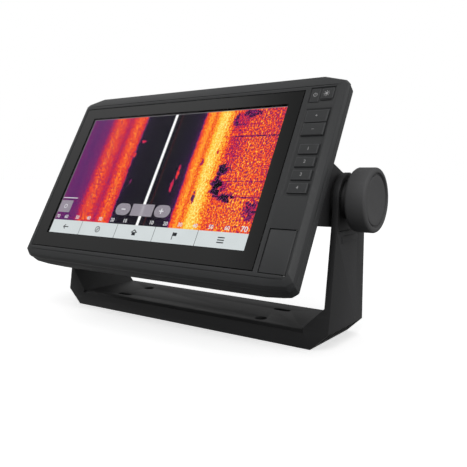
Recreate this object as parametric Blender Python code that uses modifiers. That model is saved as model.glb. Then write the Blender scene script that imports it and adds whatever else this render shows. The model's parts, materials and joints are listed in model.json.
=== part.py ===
"""Fish finder: a sonar chartplotter held in a quick-release cradle on a U-shaped bail bracket.

The model is in metres with +Z up. The origin is under the middle of the bracket, on the surface
it stands on, with the screen facing -Y. The unit and its cradle lean back about the knobs' axis,
so everything that leans is parented to an empty on that axis and is placed by how far right it
is, how deep it lies behind the front face, and how high it is above the middle of the face.
"""

import math

import bmesh
import bpy
from mathutils import Vector

MM = 0.001
GAP = 0.3 * MM

# Where the tilt axis is, on the bracket and on the unit
AXIS_Z = 100.6 * MM
AXIS_DEPTH = 44.5 * MM
AXIS_HEIGHT = 7.0 * MM
LEAN = math.radians(29.5)

# Bail bracket
ARM_OUT = 130.9 * MM
ARM_IN = 126.5 * MM
BASE_HALF_DEPTH = 30.0 * MM
BASE_TOP = 12.6 * MM
BASE_FLAT = 110.0 * MM
FOOT_HALF = 117.5 * MM
HUB_RADIUS = 18.5 * MM
BORE_RADIUS = 4.3 * MM
SKIN = 3.2 * MM
SCREW_X = 71.0 * MM
SCREW_FRONT_Y = -18.5 * MM
SCREW_REAR_Y = 12.0 * MM

# Knobs
KNOB_BACK = 135.6 * MM
KNOB_FACE = 150.3 * MM
KNOB_RADIUS = 21.9 * MM
STUD_RADIUS = 3.9 * MM
STUD_INNER = 111.0 * MM

# Unit: the face, its flared edge and the housing behind
FACE_SIDE = 125.3 * MM
FACE_TOP = 70.5 * MM
FACE_BOTTOM = -69.3 * MM
RIM_SIDE = 129.6 * MM
RIM_TOP = 81.4 * MM
RIM_BOTTOM = -76.0 * MM
CROWN_HALF = 110.0 * MM
BEZEL_DEPTH = 7.0 * MM
COVER_FRONT = 7.6 * MM
COVER_BACK = 50.4 * MM
WALL = 3.2 * MM

# Glass and screen
GLASS_LEFT = -122.7 * MM
GLASS_RIGHT = 100.3 * MM
GLASS_BOTTOM = -66.1 * MM
GLASS_TOP = 67.6 * MM
PANEL_LEFT = -111.8 * MM
PANEL_RIGHT = 91.8 * MM
PANEL_BOTTOM = -56.8 * MM
PANEL_TOP = 59.6 * MM

# Keys: one column right of the glass
KEY_X = 115.4 * MM
KEY_HALF = 7.0 * MM
KEY_RISE = 0.5 * MM
KEY_BACK = 4.6 * MM
NUMBER_KEY_TOP = 20.6 * MM
NUMBER_KEY_PITCH = 9.55 * MM
NUMBER_KEY_HALF = 3.6 * MM
SCREW_POSTS_X = (-95.0 * MM, 0.0, 95.0 * MM)
SCREW_POST_TOP = 69.5 * MM
SCREW_POST_BOTTOM = -66.0 * MM

# Card door, hinged along its right edge
DOOR_LEFT = 104.3 * MM
DOOR_BOTTOM = -66.3 * MM
DOOR_TOP = -37.2 * MM
DOOR_PIN_X = 122.4 * MM
DOOR_PIN_DEPTH = 1.6 * MM

# Cradle
EAR_OUT = 123.8 * MM
EAR_TIP = 123.0 * MM
CRADLE_FRONT = 51.1 * MM
CRADLE_BACK = 57.0 * MM
LATCH_PIN_DEPTH = 61.5 * MM
LATCH_PIN_HEIGHT = 27.5 * MM


def start_scene():
    for old in list(bpy.data.objects):
        bpy.data.objects.remove(old)
    groups = []
    for name in ("fish_finder", "cutters"):
        group = bpy.data.collections.new(name)
        bpy.context.scene.collection.children.link(group)
        groups.append(group)
    return groups


PARTS, CUTTERS = start_scene()

TILT = bpy.data.objects.new("tilt_axis", None)
PARTS.objects.link(TILT)
TILT.location = (0.0, 0.0, AXIS_Z)
TILT.rotation_euler = (-LEAN, 0.0, 0.0)

NYLON = ("glass_filled_nylon", (0.030, 0.030, 0.032, 1.0), 0.62, 0.0)
HOUSING = ("housing_polycarbonate", (0.045, 0.046, 0.048, 1.0), 0.55, 0.0)
RUBBER = ("black_rubber", (0.020, 0.020, 0.020, 1.0), 0.85, 0.0)
GLASS = ("cover_glass", (0.010, 0.011, 0.013, 1.0), 0.06, 0.0)
SCREEN = ("display", (0.55, 0.16, 0.10, 1.0), 0.30, 0.0)
STEEL = ("stainless_steel", (0.62, 0.62, 0.60, 1.0), 0.32, 1.0)
BRASS = ("brass", (0.72, 0.52, 0.22, 1.0), 0.35, 1.0)
ALUMINIUM = ("aluminium", (0.70, 0.71, 0.72, 1.0), 0.42, 1.0)
BOARD = ("board_laminate", (0.02, 0.12, 0.06, 1.0), 0.45, 0.0)
CERAMIC = ("antenna_ceramic", (0.55, 0.50, 0.42, 1.0), 0.50, 0.0)


def paint(obj, finish):
    name, colour, roughness, metallic = finish
    surface = bpy.data.materials.new(f"{obj.name}_{name}")
    surface.use_nodes = True
    shader = surface.node_tree.nodes["Principled BSDF"]
    shader.inputs["Base Color"].default_value = colour
    shader.inputs["Roughness"].default_value = roughness
    shader.inputs["Metallic"].default_value = metallic
    surface.diffuse_color = colour
    obj.data.materials.clear()
    obj.data.materials.append(surface)


def place(name, data, finish, parent):
    """Link an object among the parts, or among the cutters when it has no finish."""
    obj = bpy.data.objects.new(name, data)
    obj.parent = parent
    if finish is None:
        CUTTERS.objects.link(obj)
        obj.hide_render = True
        obj.display_type = "WIRE"
    else:
        PARTS.objects.link(obj)
        paint(obj, finish)
    return obj


def on_unit(across, depth, height):
    """A point of the leaning unit, as a place under the tilt axis."""
    return Vector((across, depth - AXIS_DEPTH, height - AXIS_HEIGHT))


def mesh_from(bm, name):
    bmesh.ops.recalc_face_normals(bm, faces=bm.faces)
    mesh = bpy.data.meshes.new(name)
    bm.to_mesh(mesh)
    bm.free()
    return mesh


def blocks(name, corners, finish=None, parent=None):
    """Separate boxes in one mesh, each from its low and high corner."""
    bm = bmesh.new()
    for low, high in corners:
        cube = bmesh.ops.create_cube(bm, size=1.0)["verts"]
        bmesh.ops.scale(bm, vec=Vector(high) - Vector(low), verts=cube)
        bmesh.ops.translate(bm, vec=(Vector(high) + Vector(low)) / 2, verts=cube)
    return place(name, mesh_from(bm, name), finish, parent)


def block(name, low, high, finish=None, parent=None, edge=0.0):
    """One box whose object sits at its middle, with its edges bevelled."""
    bm = bmesh.new()
    bmesh.ops.create_cube(bm, size=1.0)
    bmesh.ops.scale(bm, vec=Vector(high) - Vector(low), verts=bm.verts)
    obj = place(name, mesh_from(bm, name), finish, parent)
    obj.location = (Vector(high) + Vector(low)) / 2
    if edge:
        soften(obj, edge)
    return obj


def unit_block(name, left, right, front, back, bottom, top, finish=None, edge=0.0):
    low = on_unit(left, front, bottom)
    high = on_unit(right, back, top)
    return block(name, low, high, finish, TILT, edge)


def soften(obj, width, segments=1):
    bevel = obj.modifiers.new("soft_edges", "BEVEL")
    bevel.width = width
    bevel.segments = segments
    bevel.limit_method = "ANGLE"
    bevel.angle_limit = math.radians(40)


ALONG = {"X": (0.0, math.pi / 2, 0.0), "Y": (-math.pi / 2, 0.0, 0.0), "Z": (0.0, 0.0, 0.0)}


def rods(name, axis, radius, spans, finish=None, parent=None, sides=20):
    """Separate round rods in one mesh: each span is a middle point and a length."""
    bm = bmesh.new()
    for _, length in spans:
        bmesh.ops.create_cone(
            bm, cap_ends=True, segments=sides, radius1=radius, radius2=radius, depth=length)
    obj = place(name, mesh_from(bm, name), finish, parent)
    obj.rotation_euler = ALONG[axis]
    turn = obj.rotation_euler.to_matrix().inverted()
    first = Vector(spans[0][0])
    obj.location = first
    per_rod = 2 * sides
    for index, (middle, _) in enumerate(spans):
        shift = turn @ (Vector(middle) - first)
        for vertex in obj.data.vertices[index * per_rod:(index + 1) * per_rod]:
            vertex.co += shift
    obj.data.shade_smooth()
    obj.data.set_sharp_from_angle(angle=math.radians(40))
    return obj


def turned(name, axis, profile, finish, parent=None, sides=36, closed=False, facing=1):
    """A turned piece: (radius, distance) points run down its outer side from the far end."""
    mesh = bpy.data.meshes.new(name)
    edges = [(i, i + 1) for i in range(len(profile) - 1)]
    if closed:
        edges.append((len(profile) - 1, 0))
    mesh.from_pydata([(radius, 0.0, distance) for radius, distance in profile], edges, [])
    obj = place(name, mesh, finish, parent)
    obj.rotation_euler = tuple(facing * angle for angle in ALONG[axis])
    screw = obj.modifiers.new("turn", "SCREW")
    screw.steps = sides
    screw.render_steps = sides
    screw.use_merge_vertices = True
    screw.merge_threshold = 0.00001
    return obj


def plate(name, outline, thickness, finish=None, parent=None, facing="Z"):
    """A flat outline, extruded both ways from its middle and made a mesh."""
    curve = bpy.data.curves.new(name, "CURVE")
    curve.dimensions = "2D"
    curve.fill_mode = "BOTH"
    curve.extrude = thickness / 2
    spline = curve.splines.new("POLY")
    spline.points.add(len(outline) - 1)
    for point, (first, second) in zip(spline.points, outline):
        point.co = (first, second, 0.0, 1.0)
    spline.use_cyclic_u = True
    drawn = bpy.data.objects.new(name + "_outline", curve)
    CUTTERS.objects.link(drawn)
    bpy.context.view_layer.update()
    solid = drawn.evaluated_get(bpy.context.evaluated_depsgraph_get())
    mesh = bpy.data.meshes.new_from_object(solid)
    bpy.data.objects.remove(drawn)
    mesh.name = name
    bm = bmesh.new()
    bm.from_mesh(mesh)
    bmesh.ops.remove_doubles(bm, verts=bm.verts, dist=0.00001)
    bmesh.ops.recalc_face_normals(bm, faces=bm.faces)
    bm.to_mesh(mesh)
    bm.free()
    obj = place(name, mesh, finish, parent)
    if facing == "Y":
        obj.rotation_euler = (math.pi / 2, 0.0, 0.0)
    if facing == "X":
        obj.rotation_euler = (math.pi / 2, 0.0, math.pi / 2)
    return obj


def loft(name, rings, finish=None, parent=None):
    """A closed body through rings that all have the same number of points."""
    bm = bmesh.new()
    loops = [[bm.verts.new(point) for point in ring] for ring in rings]
    count = len(rings[0])
    for near, far in zip(loops, loops[1:]):
        for i in range(count):
            j = (i + 1) % count
            bm.faces.new((near[i], near[j], far[j], far[i]))
    bm.faces.new(loops[0])
    bm.faces.new(loops[-1])
    return place(name, mesh_from(bm, name), finish, parent)


def combine(target, tool, how="DIFFERENCE"):
    boolean = target.modifiers.new(tool.name, "BOOLEAN")
    boolean.operation = how
    boolean.solver = "EXACT"
    boolean.object = tool


def arc(centre, radius, start, end, count):
    points = []
    for i in range(count + 1):
        angle = math.radians(start + (end - start) * i / count)
        points.append((centre[0] + radius * math.cos(angle), centre[1] + radius * math.sin(angle)))
    return points


def housing_ring(depth, side, top, bottom, fall=4.6 * MM, crown=CROWN_HALF):
    """One outline of the housing: a crowned top, straight sides and cut lower corners."""
    half = [
        (crown, top),
        (side - 2.6 * MM, top - fall),
        (side, top - fall - 2.4 * MM),
        (side, bottom + 4.4 * MM),
        (side - 4.0 * MM, bottom + 1.2 * MM),
        (crown, bottom),
    ]
    outline = half + [(-across, height) for across, height in reversed(half)]
    return [on_unit(across, depth, height) for across, height in outline]


# ---------------------------------------------------------------- bail bracket
def make_bracket():
    """A moulded U: strap arms with round hubs on a ribbed base with bevelled lower corners."""
    over = 125.0 * MM
    half = [
        (FOOT_HALF, 0.0),
        (ARM_OUT, FOOT_HALF - ARM_OUT + 26.0 * MM),
        (ARM_OUT, over),
        (ARM_IN, over),
        (ARM_IN, BASE_TOP + ARM_IN - BASE_FLAT),
        (BASE_FLAT, BASE_TOP),
    ]
    outline = half + [(-x, z) for x, z in reversed(half)]
    bracket = plate("bail_bracket", outline, 70.0 * MM, NYLON, facing="Y")

    side = [
        (-BASE_HALF_DEPTH, -2.0 * MM),
        (BASE_HALF_DEPTH, -2.0 * MM),
        (BASE_HALF_DEPTH, 76.0 * MM),
    ]
    side += arc((0.0, AXIS_Z), HUB_RADIUS, -12.0, 192.0, 14)
    side += [(-20.0 * MM, 80.0 * MM), (-BASE_HALF_DEPTH, BASE_TOP)]
    combine(bracket, plate("bracket_side_view", side, 300.0 * MM, facing="X"), "INTERSECT")

    pocket_side = [(-16.2 * MM, 79.6 * MM), (40.0 * MM, 79.6 * MM), (40.0 * MM, 130.0 * MM)]
    pocket_side += [(0.0, 130.0 * MM)]
    pocket_side += arc((0.0, AXIS_Z), HUB_RADIUS - 2.8 * MM, 90.0, 196.0, 10)
    rear_bevel = [
        (ARM_OUT, 13.5 * MM),
        (129.2 * MM, 31.0 * MM),
        (134.0 * MM, 31.0 * MM),
        (134.0 * MM, 13.5 * MM),
    ]
    for side_name, way in (("left", -1), ("right", 1)):
        wedge = plate(f"rear_bevel_{side_name}", [(way * x, y) for x, y in rear_bevel], 260.0 * MM)
        combine(bracket, wedge)
        pocket = plate(f"hub_pocket_{side_name}", pocket_side, 4.0 * MM, facing="X")
        pocket.location.x = way * (ARM_OUT + 0.4 * MM)
        combine(bracket, pocket)
        hub = ((way * 131.0 * MM, 0.0, AXIS_Z), 4.6 * MM)
        combine(bracket, rods(f"hub_disc_{side_name}", "X", 13.6 * MM, [hub], sides=28), "UNION")
        low = (min(way * 129.4 * MM, way * 131.5 * MM), -12.0 * MM, 71.4 * MM)
        high = (max(way * 129.4 * MM, way * 131.5 * MM), 13.2 * MM, 76.4 * MM)
        combine(bracket, block(f"stop_pad_{side_name}", low, high), "UNION")

    rim = [(-27.0 * MM, 12.7 * MM), (-31.0 * MM, 10.2 * MM), (-31.0 * MM, 14.0 * MM)]
    combine(bracket, plate("front_rim_bevel", rim, 224.0 * MM, facing="X"))

    cells = []
    cell = 24.0 * MM
    rib = 4.0 * MM
    for column in range(8):
        left = -4 * (cell + rib) + rib / 2 + column * (cell + rib)
        for front, back in ((-26.6 * MM, -1.5 * MM), (1.5 * MM, 26.6 * MM)):
            cells.append(((left, front, -1.0 * MM), (left + cell, back, BASE_TOP - SKIN)))
    combine(bracket, blocks("base_cells", cells))

    for side_name, way in (("left", -1), ("right", 1)):
        slots = []
        for row in range(5):
            middle = (row - 2) * 10.6 * MM
            slots.append(((-6.2 * MM, middle - 3.6 * MM, -9.0 * MM),
                          (6.2 * MM, middle + 3.6 * MM, 9.0 * MM)))
        corner = blocks(f"corner_cells_{side_name}", slots)
        corner.location = (way * 124.2 * MM, 0.0, 6.3 * MM)
        corner.rotation_euler = (0.0, -way * math.radians(45), 0.0)
        combine(bracket, corner)

    round_holes = [
        ((-SCREW_X, SCREW_REAR_Y, BASE_TOP), 20.0 * MM),
        ((SCREW_X, SCREW_FRONT_Y, BASE_TOP), 20.0 * MM),
    ]
    combine(bracket, rods("screw_holes", "Z", 4.6 * MM, round_holes, sides=16))
    slot_reach = 4.6 * MM
    slot_radius = 2.8 * MM
    for number, (x, y) in enumerate(((-SCREW_X, SCREW_FRONT_Y), (SCREW_X, SCREW_REAR_Y))):
        ends = arc((x + slot_reach, y), slot_radius, -90, 90, 6)
        ends += arc((x - slot_reach, y), slot_radius, 90, 270, 6)
        slot = plate(f"screw_slot_{number}", ends, 20.0 * MM)
        slot.location.z = BASE_TOP
        combine(bracket, slot)
    bore = rods("arm_bores", "X", BORE_RADIUS, [((0.0, 0.0, AXIS_Z), 300.0 * MM)])
    combine(bracket, bore)
    return bracket


def make_knobs():
    """Each knob is moulded on a steel stud that screws into the cradle's ear."""
    for name, way in (("left", -1), ("right", 1)):
        knob_profile = [
            (0.0, KNOB_FACE - 1.6 * MM),
            (12.2 * MM, KNOB_FACE - 1.3 * MM),
            (13.8 * MM, KNOB_FACE - 0.6 * MM),
            (15.6 * MM, KNOB_FACE - 0.5 * MM),
            (16.6 * MM, KNOB_FACE),
            (19.6 * MM, KNOB_FACE),
            (21.3 * MM, KNOB_FACE - 0.9 * MM),
            (KNOB_RADIUS, KNOB_FACE - 2.3 * MM),
            (KNOB_RADIUS, 138.2 * MM),
            (20.0 * MM, KNOB_BACK),
            (STUD_RADIUS + GAP, KNOB_BACK),
            (STUD_RADIUS + GAP, 145.0 * MM),
            (0.0, 145.0 * MM),
        ]
        knob = turned(f"knob_{name}", "X", knob_profile, NYLON, sides=40, facing=way)
        stud_profile = [
            (0.0, 144.6 * MM),
            (STUD_RADIUS, 144.6 * MM),
            (STUD_RADIUS, STUD_INNER + 1.0 * MM),
            (STUD_RADIUS - 1.0 * MM, STUD_INNER),
            (0.0, STUD_INNER),
        ]
        stud = turned(f"knob_stud_{name}", "X", stud_profile, STEEL, sides=20, facing=way)
        slip_ring = [
            (15.0 * MM, 135.3 * MM),
            (15.0 * MM, 133.6 * MM),
            (5.0 * MM, 133.6 * MM),
            (5.0 * MM, 135.3 * MM),
        ]
        ring = turned(f"knob_washer_{name}", "X", slip_ring, STEEL, sides=28, closed=True, facing=way)
        pad = [
            (16.5 * MM, 126.2 * MM),
            (16.5 * MM, 124.1 * MM),
            (5.0 * MM, 124.1 * MM),
            (5.0 * MM, 126.2 * MM),
        ]
        grip = turned(f"friction_pad_{name}", "X", pad, RUBBER, sides=28, closed=True, facing=way)
        for piece in (knob, stud, ring, grip):
            piece.location = (0.0, 0.0, AXIS_Z)


# ---------------------------------------------------------------- cradle
def make_cradle():
    """A back plate with an ear at each end, two lugs for the latch and a connector bay."""
    half = [
        (EAR_OUT, 22.0 * MM),
        (EAR_OUT, CRADLE_BACK),
        (EAR_TIP, 22.0 * MM),
        (94.2 * MM, CRADLE_FRONT),
    ]
    outer, inner = half[:2], half[2:]
    outline = [(x, y) for x, y in outer] + [(-x, y) for x, y in reversed(outer)]
    outline += [(-x, y) for x, y in inner] + [(x, y) for x, y in reversed(inner)]
    outline = [(x, y - AXIS_DEPTH) for x, y in outline]
    cradle = plate("cradle_shell", outline, 120.0 * MM, NYLON, TILT)
    profile = [
        (23.0, 22.8), (37.0, 24.5), (44.5, 26.0), (56.0, 31.0), (70.0, 33.0),
        (70.0, -52.0), (50.5, -50.0), (38.5, -17.0), (25.0, -22.3), (23.0, -22.3),
    ]
    side = [(depth * MM - AXIS_DEPTH, height * MM - AXIS_HEIGHT) for depth, height in profile]
    side_view = plate("cradle_side_view", side, 300.0 * MM, None, TILT, facing="X")
    combine(cradle, side_view, "INTERSECT")
    under_wing = [(37.0, -17.4), (59.0, -8.1), (59.0, -60.0), (37.0, -60.0)]
    under_wing = [(depth * MM - AXIS_DEPTH, height * MM - AXIS_HEIGHT)
                  for depth, height in under_wing]
    for name, way in (("left", -1), ("right", 1)):
        relief = plate(f"wing_relief_{name}", under_wing, 34.0 * MM, None, TILT, facing="X")
        relief.location.x = way * 113.5 * MM
        combine(cradle, relief)

    bay = unit_block("bay_block", -48 * MM, 48 * MM, 55 * MM, 66 * MM, -36 * MM, 9 * MM)
    combine(cradle, bay, "UNION")
    for name, near, far in (("left", -20 * MM, -16.4 * MM), ("right", 16.4 * MM, 20 * MM)):
        lug = unit_block(f"lug_{name}", near, far, 55 * MM, 65 * MM, 22.5 * MM, 32 * MM)
        combine(cradle, lug, "UNION")
        reach = 33 * MM if name == "right" else -25 * MM
        peg = unit_block(f"peg_{name}", reach - 8 * MM, reach, 48.7 * MM, 53 * MM,
                         -45 * MM, -38 * MM)
        combine(cradle, peg, "UNION")
        edge = 84 * MM if name == "right" else -58 * MM
        window = unit_block(f"window_{name}", edge - 26 * MM, edge, 50 * MM, 60 * MM,
                            -38 * MM, 14 * MM)
        combine(cradle, window)
    opening = unit_block("contact_opening", -23.3 * MM, 23.3 * MM, 50 * MM, 68 * MM,
                         -25.3 * MM, 3.3 * MM)
    combine(cradle, opening)
    pin_place = on_unit(0.0, LATCH_PIN_DEPTH, LATCH_PIN_HEIGHT)
    combine(cradle, rods("latch_pin_hole", "X", 1.8 * MM, [(pin_place, 60 * MM)], None, TILT, 12))
    seats = [
        ((-117.1 * MM, 0.0, 0.0), 14.4 * MM),
        ((117.1 * MM, 0.0, 0.0), 14.4 * MM),
    ]
    combine(cradle, rods("insert_seats", "X", 6.8 * MM, seats, None, TILT, 16))
    for name, way in (("left", -1), ("right", 1)):
        sleeve = [
            (6.5 * MM, 123.2 * MM),
            (6.5 * MM, 110.4 * MM),
            (4.2 * MM, 110.4 * MM),
            (4.2 * MM, 123.2 * MM),
        ]
        turned(f"cradle_insert_{name}", "X", sleeve, BRASS, TILT, 16, True, way)
        pad = block(f"cradle_pad_{name}", (-10 * MM, -0.55 * MM, -15 * MM),
                    (10 * MM, 0.55 * MM, 15 * MM), RUBBER, TILT, 0.2 * MM)
        pad.location = on_unit(way * 108.9 * MM, 35.0 * MM, 2.0 * MM)
        pad.rotation_euler = (0.0, 0.0, -way * math.radians(45))

    rods("latch_pin", "X", 1.5 * MM, [(pin_place, 40.6 * MM)], STEEL, TILT, 12)
    lever_side = arc((0.0, 0.0), 3.3 * MM, -40.0, 40.0, 4)
    lever_side += [
        (2.6 * MM, 8.0 * MM), (1.6 * MM, 11.2 * MM), (-12.7 * MM, 11.2 * MM),
        (-12.7 * MM, 8.6 * MM), (-2.2 * MM, 8.2 * MM),
    ]
    lever_side += arc((0.0, 0.0), 3.3 * MM, 140.0, 220.0, 4)
    lever_side += [(-2.0 * MM, -15.0 * MM), (0.2 * MM, -16.6 * MM), (2.6 * MM, -15.8 * MM)]
    lever = plate("latch_lever", lever_side, 31.6 * MM, NYLON, TILT, facing="X")
    lever.location = pin_place
    bore = rods("lever_bore", "X", 1.8 * MM, [(pin_place, 40 * MM)], None, TILT, 12)
    combine(lever, bore)
    notch = unit_block("spring_notch", 7 * MM, 17 * MM, 57 * MM, 66 * MM, 23 * MM, 32 * MM)
    combine(lever, notch)
    make_latch_spring(pin_place)


def make_latch_spring(middle):
    """A torsion spring wound round the latch pin."""
    turns = 4
    per_turn = 10
    points = []
    for i in range(turns * per_turn + 1):
        angle = 2 * math.pi * i / per_turn
        along = (8.2 + 6.6 * i / (turns * per_turn)) * MM
        points.append((along, 2.6 * MM * math.cos(angle), 2.6 * MM * math.sin(angle)))
    curve = bpy.data.curves.new("latch_spring", "CURVE")
    curve.dimensions = "3D"
    curve.bevel_depth = 0.4 * MM
    curve.bevel_resolution = 1
    curve.use_fill_caps = True
    spline = curve.splines.new("POLY")
    spline.points.add(len(points) - 1)
    for point, place_of in zip(spline.points, points):
        point.co = (*place_of, 1.0)
    spring = place("latch_spring", curve, STEEL, TILT)
    spring.location = middle


def make_connectors():
    """The cradle's contact block with its two cable sockets, and the unit's own contacts."""
    unit_block("cradle_contact_block", -23 * MM, 23 * MM, 51.5 * MM, 65.4 * MM,
               -25 * MM, 3 * MM, HOUSING, 0.5 * MM)
    for name, across in (("power", -11.2 * MM), ("sonar", 11.2 * MM)):
        collar = [
            (8.2 * MM, 9.4 * MM),
            (8.2 * MM, 0.0),
            (0.0, 0.0),
            (0.0, 1.6 * MM),
            (6.6 * MM, 1.6 * MM),
            (6.6 * MM, 9.4 * MM),
        ]
        socket = turned(f"socket_{name}", "Y", collar, HOUSING, TILT, 24, True)
        socket.location = on_unit(across, 65.7 * MM, -11.0 * MM)
        ring = 4.8 * MM
        pins = 4 if name == "power" else 6
        spans = []
        for i in range(pins):
            angle = 2 * math.pi * i / pins
            middle = on_unit(across + ring * math.cos(angle), 69.0 * MM,
                             -11.0 * MM + ring * math.sin(angle))
            spans.append((middle, 5.0 * MM))
        combine(socket, rods(f"pins_{name}", "Y", 0.6 * MM, spans, None, TILT, 8), "UNION")
    unit_block("unit_contact_block", -20 * MM, 20 * MM, 46.8 * MM, 50.8 * MM,
               -22 * MM, 0.0, HOUSING, 0.4 * MM)


# ---------------------------------------------------------------- unit: front
def make_bezel():
    """The front moulding: a flared rim, the glass seat, the key holes and the card bay."""
    rings = [
        housing_ring(0.0, FACE_SIDE, FACE_TOP, FACE_BOTTOM, 0.3 * MM),
        housing_ring(2.0 * MM, 129.2 * MM, 79.2 * MM, -74.0 * MM),
        housing_ring(4.5 * MM, RIM_SIDE, 81.2 * MM, -75.6 * MM),
        housing_ring(BEZEL_DEPTH, RIM_SIDE, RIM_TOP, RIM_BOTTOM),
    ]
    bezel = loft("front_bezel", rings, HOUSING, TILT)
    hollow_back = BEZEL_DEPTH + 1.0 * MM
    main = unit_block("bezel_hollow", -124.6 * MM, 102.2 * MM, WALL, hollow_back,
                      -70.8 * MM, 74.5 * MM)
    beside = unit_block("bezel_key_hollow", 101.0 * MM, 124.6 * MM, WALL, hollow_back,
                        -35.2 * MM, 74.5 * MM)
    posts = []
    for across in SCREW_POSTS_X:
        for height in (SCREW_POST_TOP, SCREW_POST_BOTTOM):
            posts.append((on_unit(across, 5.0 * MM, height), 14.0 * MM))
    combine(main, rods("bezel_posts", "Y", 3.8 * MM, posts, None, TILT, 12))
    combine(bezel, main)
    combine(bezel, beside)
    pilots = [(middle, 3.4 * MM) for middle, _ in posts]
    pilot_cut = rods("bezel_pilots", "Y", 1.8 * MM, pilots, None, TILT, 10)
    pilot_cut.location.y += 0.7 * MM
    combine(bezel, pilot_cut)

    seat = unit_block("glass_seat", GLASS_LEFT - GAP, GLASS_RIGHT + GAP, -1.0 * MM, 1.85 * MM,
                      GLASS_BOTTOM - GAP, GLASS_TOP + GAP)
    combine(bezel, seat)
    window = unit_block("screen_window", PANEL_LEFT - GAP, PANEL_RIGHT + GAP, -2.0 * MM, 5.0 * MM,
                        PANEL_BOTTOM - GAP, PANEL_TOP + GAP)
    combine(bezel, window)
    panel = unit_block("key_panel_sink", 105.6 * MM, 123.6 * MM, -1.0 * MM, 0.6 * MM,
                       -13.2 * MM, 51.6 * MM)
    combine(bezel, panel)
    top_panel = unit_block("top_key_sink", 104.6 * MM, 123.2 * MM, -1.0 * MM, 0.6 * MM,
                           56.8 * MM, 68.8 * MM)
    combine(bezel, top_panel)
    holes = []
    for _, left, right, bottom, top in key_layout():
        low = on_unit(left - GAP, -1.5 * MM, bottom - GAP)
        high = on_unit(right + GAP, 4.0 * MM, top + GAP)
        holes.append((low, high))
    combine(bezel, blocks("key_holes", holes, None, TILT))

    bay = unit_block("card_bay", DOOR_LEFT - GAP, 124.0 * MM, -1.0 * MM, 3.6 * MM,
                     DOOR_BOTTOM - GAP, DOOR_TOP + GAP)
    combine(bezel, bay)
    slot = unit_block("card_slot", 107.2 * MM, 119.2 * MM, 3.0 * MM, 8.0 * MM,
                      -53.0 * MM, -50.4 * MM)
    combine(bezel, slot)
    middle = on_unit(DOOR_PIN_X, DOOR_PIN_DEPTH, (DOOR_BOTTOM + DOOR_TOP) / 2)
    pin_seat = rods("door_pin_seat", "Z", 0.9 * MM, [(middle, 32.6 * MM)], None, TILT, 10)
    combine(bezel, pin_seat)


def key_layout():
    """Each key's name and its left, right, bottom and top edges on the face."""
    keys = [
        ("key_power", 105.4 * MM, 112.3 * MM, 57.6 * MM, 68.2 * MM),
        ("key_light", 113.1 * MM, 122.4 * MM, 59.8 * MM, 68.2 * MM),
        ("key_zoom_in", 106.4 * MM, 122.8 * MM, 41.1 * MM, 50.6 * MM),
        ("key_zoom_out", 106.4 * MM, 122.8 * MM, 30.9 * MM, 40.4 * MM),
    ]
    for number in range(4):
        middle = NUMBER_KEY_TOP - number * NUMBER_KEY_PITCH
        keys.append((f"key_{number + 1}", KEY_X - KEY_HALF, KEY_X + KEY_HALF,
                     middle - NUMBER_KEY_HALF, middle + NUMBER_KEY_HALF))
    return keys


def make_front_pieces():
    """The glass, the display behind it, the keys and the rubber mat that springs them back."""
    unit_block("cover_glass", GLASS_LEFT, GLASS_RIGHT, 0.15 * MM, 1.55 * MM,
               GLASS_BOTTOM, GLASS_TOP, GLASS, 0.3 * MM)
    unit_block("display_panel", PANEL_LEFT, PANEL_RIGHT, 1.9 * MM, 4.9 * MM,
               PANEL_BOTTOM, PANEL_TOP, SCREEN)
    unit_block("display_chassis", -114 * MM, 94 * MM, 5.2 * MM, 7.2 * MM,
               -60 * MM, 62.5 * MM, ALUMINIUM, 0.4 * MM)
    for name, left, right, bottom, top in key_layout():
        unit_block(name, left, right, -KEY_RISE, KEY_BACK, bottom, top, RUBBER, 0.5 * MM)
    unit_block("keypad_mat", 104.4 * MM, 123.6 * MM, 5.5 * MM, 6.1 * MM,
               -14 * MM, 70 * MM, RUBBER)
    unit_block("key_board", 104.4 * MM, 123.0 * MM, 6.5 * MM, 7.9 * MM,
               -14 * MM, 70 * MM, BOARD)


def make_card_bay():
    """The door on its pin, the seal it closes on, and the card in its reader."""
    middle = on_unit(DOOR_PIN_X, DOOR_PIN_DEPTH, (DOOR_BOTTOM + DOOR_TOP) / 2)
    left = DOOR_LEFT - DOOR_PIN_X
    outline = arc((0.0, 0.0), 1.3 * MM, -90.0, 150.0, 8)
    outline += [(-2.0 * MM, 0.4 * MM), (left, 0.4 * MM), (left, -0.9 * MM), (left + 0.4 * MM, -1.3 * MM)]
    door = plate("card_door", outline, DOOR_TOP - DOOR_BOTTOM, HOUSING, TILT)
    door.location = middle
    bore = rods("door_bore", "Z", 0.9 * MM, [(middle, 40 * MM)], None, TILT, 10)
    combine(door, bore)
    rods("card_door_pin", "Z", 0.6 * MM, [(middle, 31.6 * MM)], STEEL, TILT, 10)
    seal = unit_block("card_door_seal", 104.6 * MM, 120.7 * MM, 2.3 * MM, 3.3 * MM,
                      -66.0 * MM, -37.5 * MM, RUBBER)
    inside = unit_block("seal_inside", 106.4 * MM, 119.5 * MM, 1.0 * MM, 4.0 * MM,
                        -64.2 * MM, -39.3 * MM)
    combine(seal, inside)
    reader = unit_block("card_reader", 106.0 * MM, 120.4 * MM, 7.6 * MM, 16.5 * MM,
                        -55.0 * MM, -48.4 * MM, STEEL)
    throat = unit_block("reader_throat", 107.2 * MM, 119.2 * MM, 7.0 * MM, 15.6 * MM,
                        -53.0 * MM, -50.4 * MM)
    combine(reader, throat)
    unit_block("memory_card", 107.7 * MM, 118.7 * MM, 3.0 * MM, 15.0 * MM,
               -52.2 * MM, -51.2 * MM, NYLON)


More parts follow.
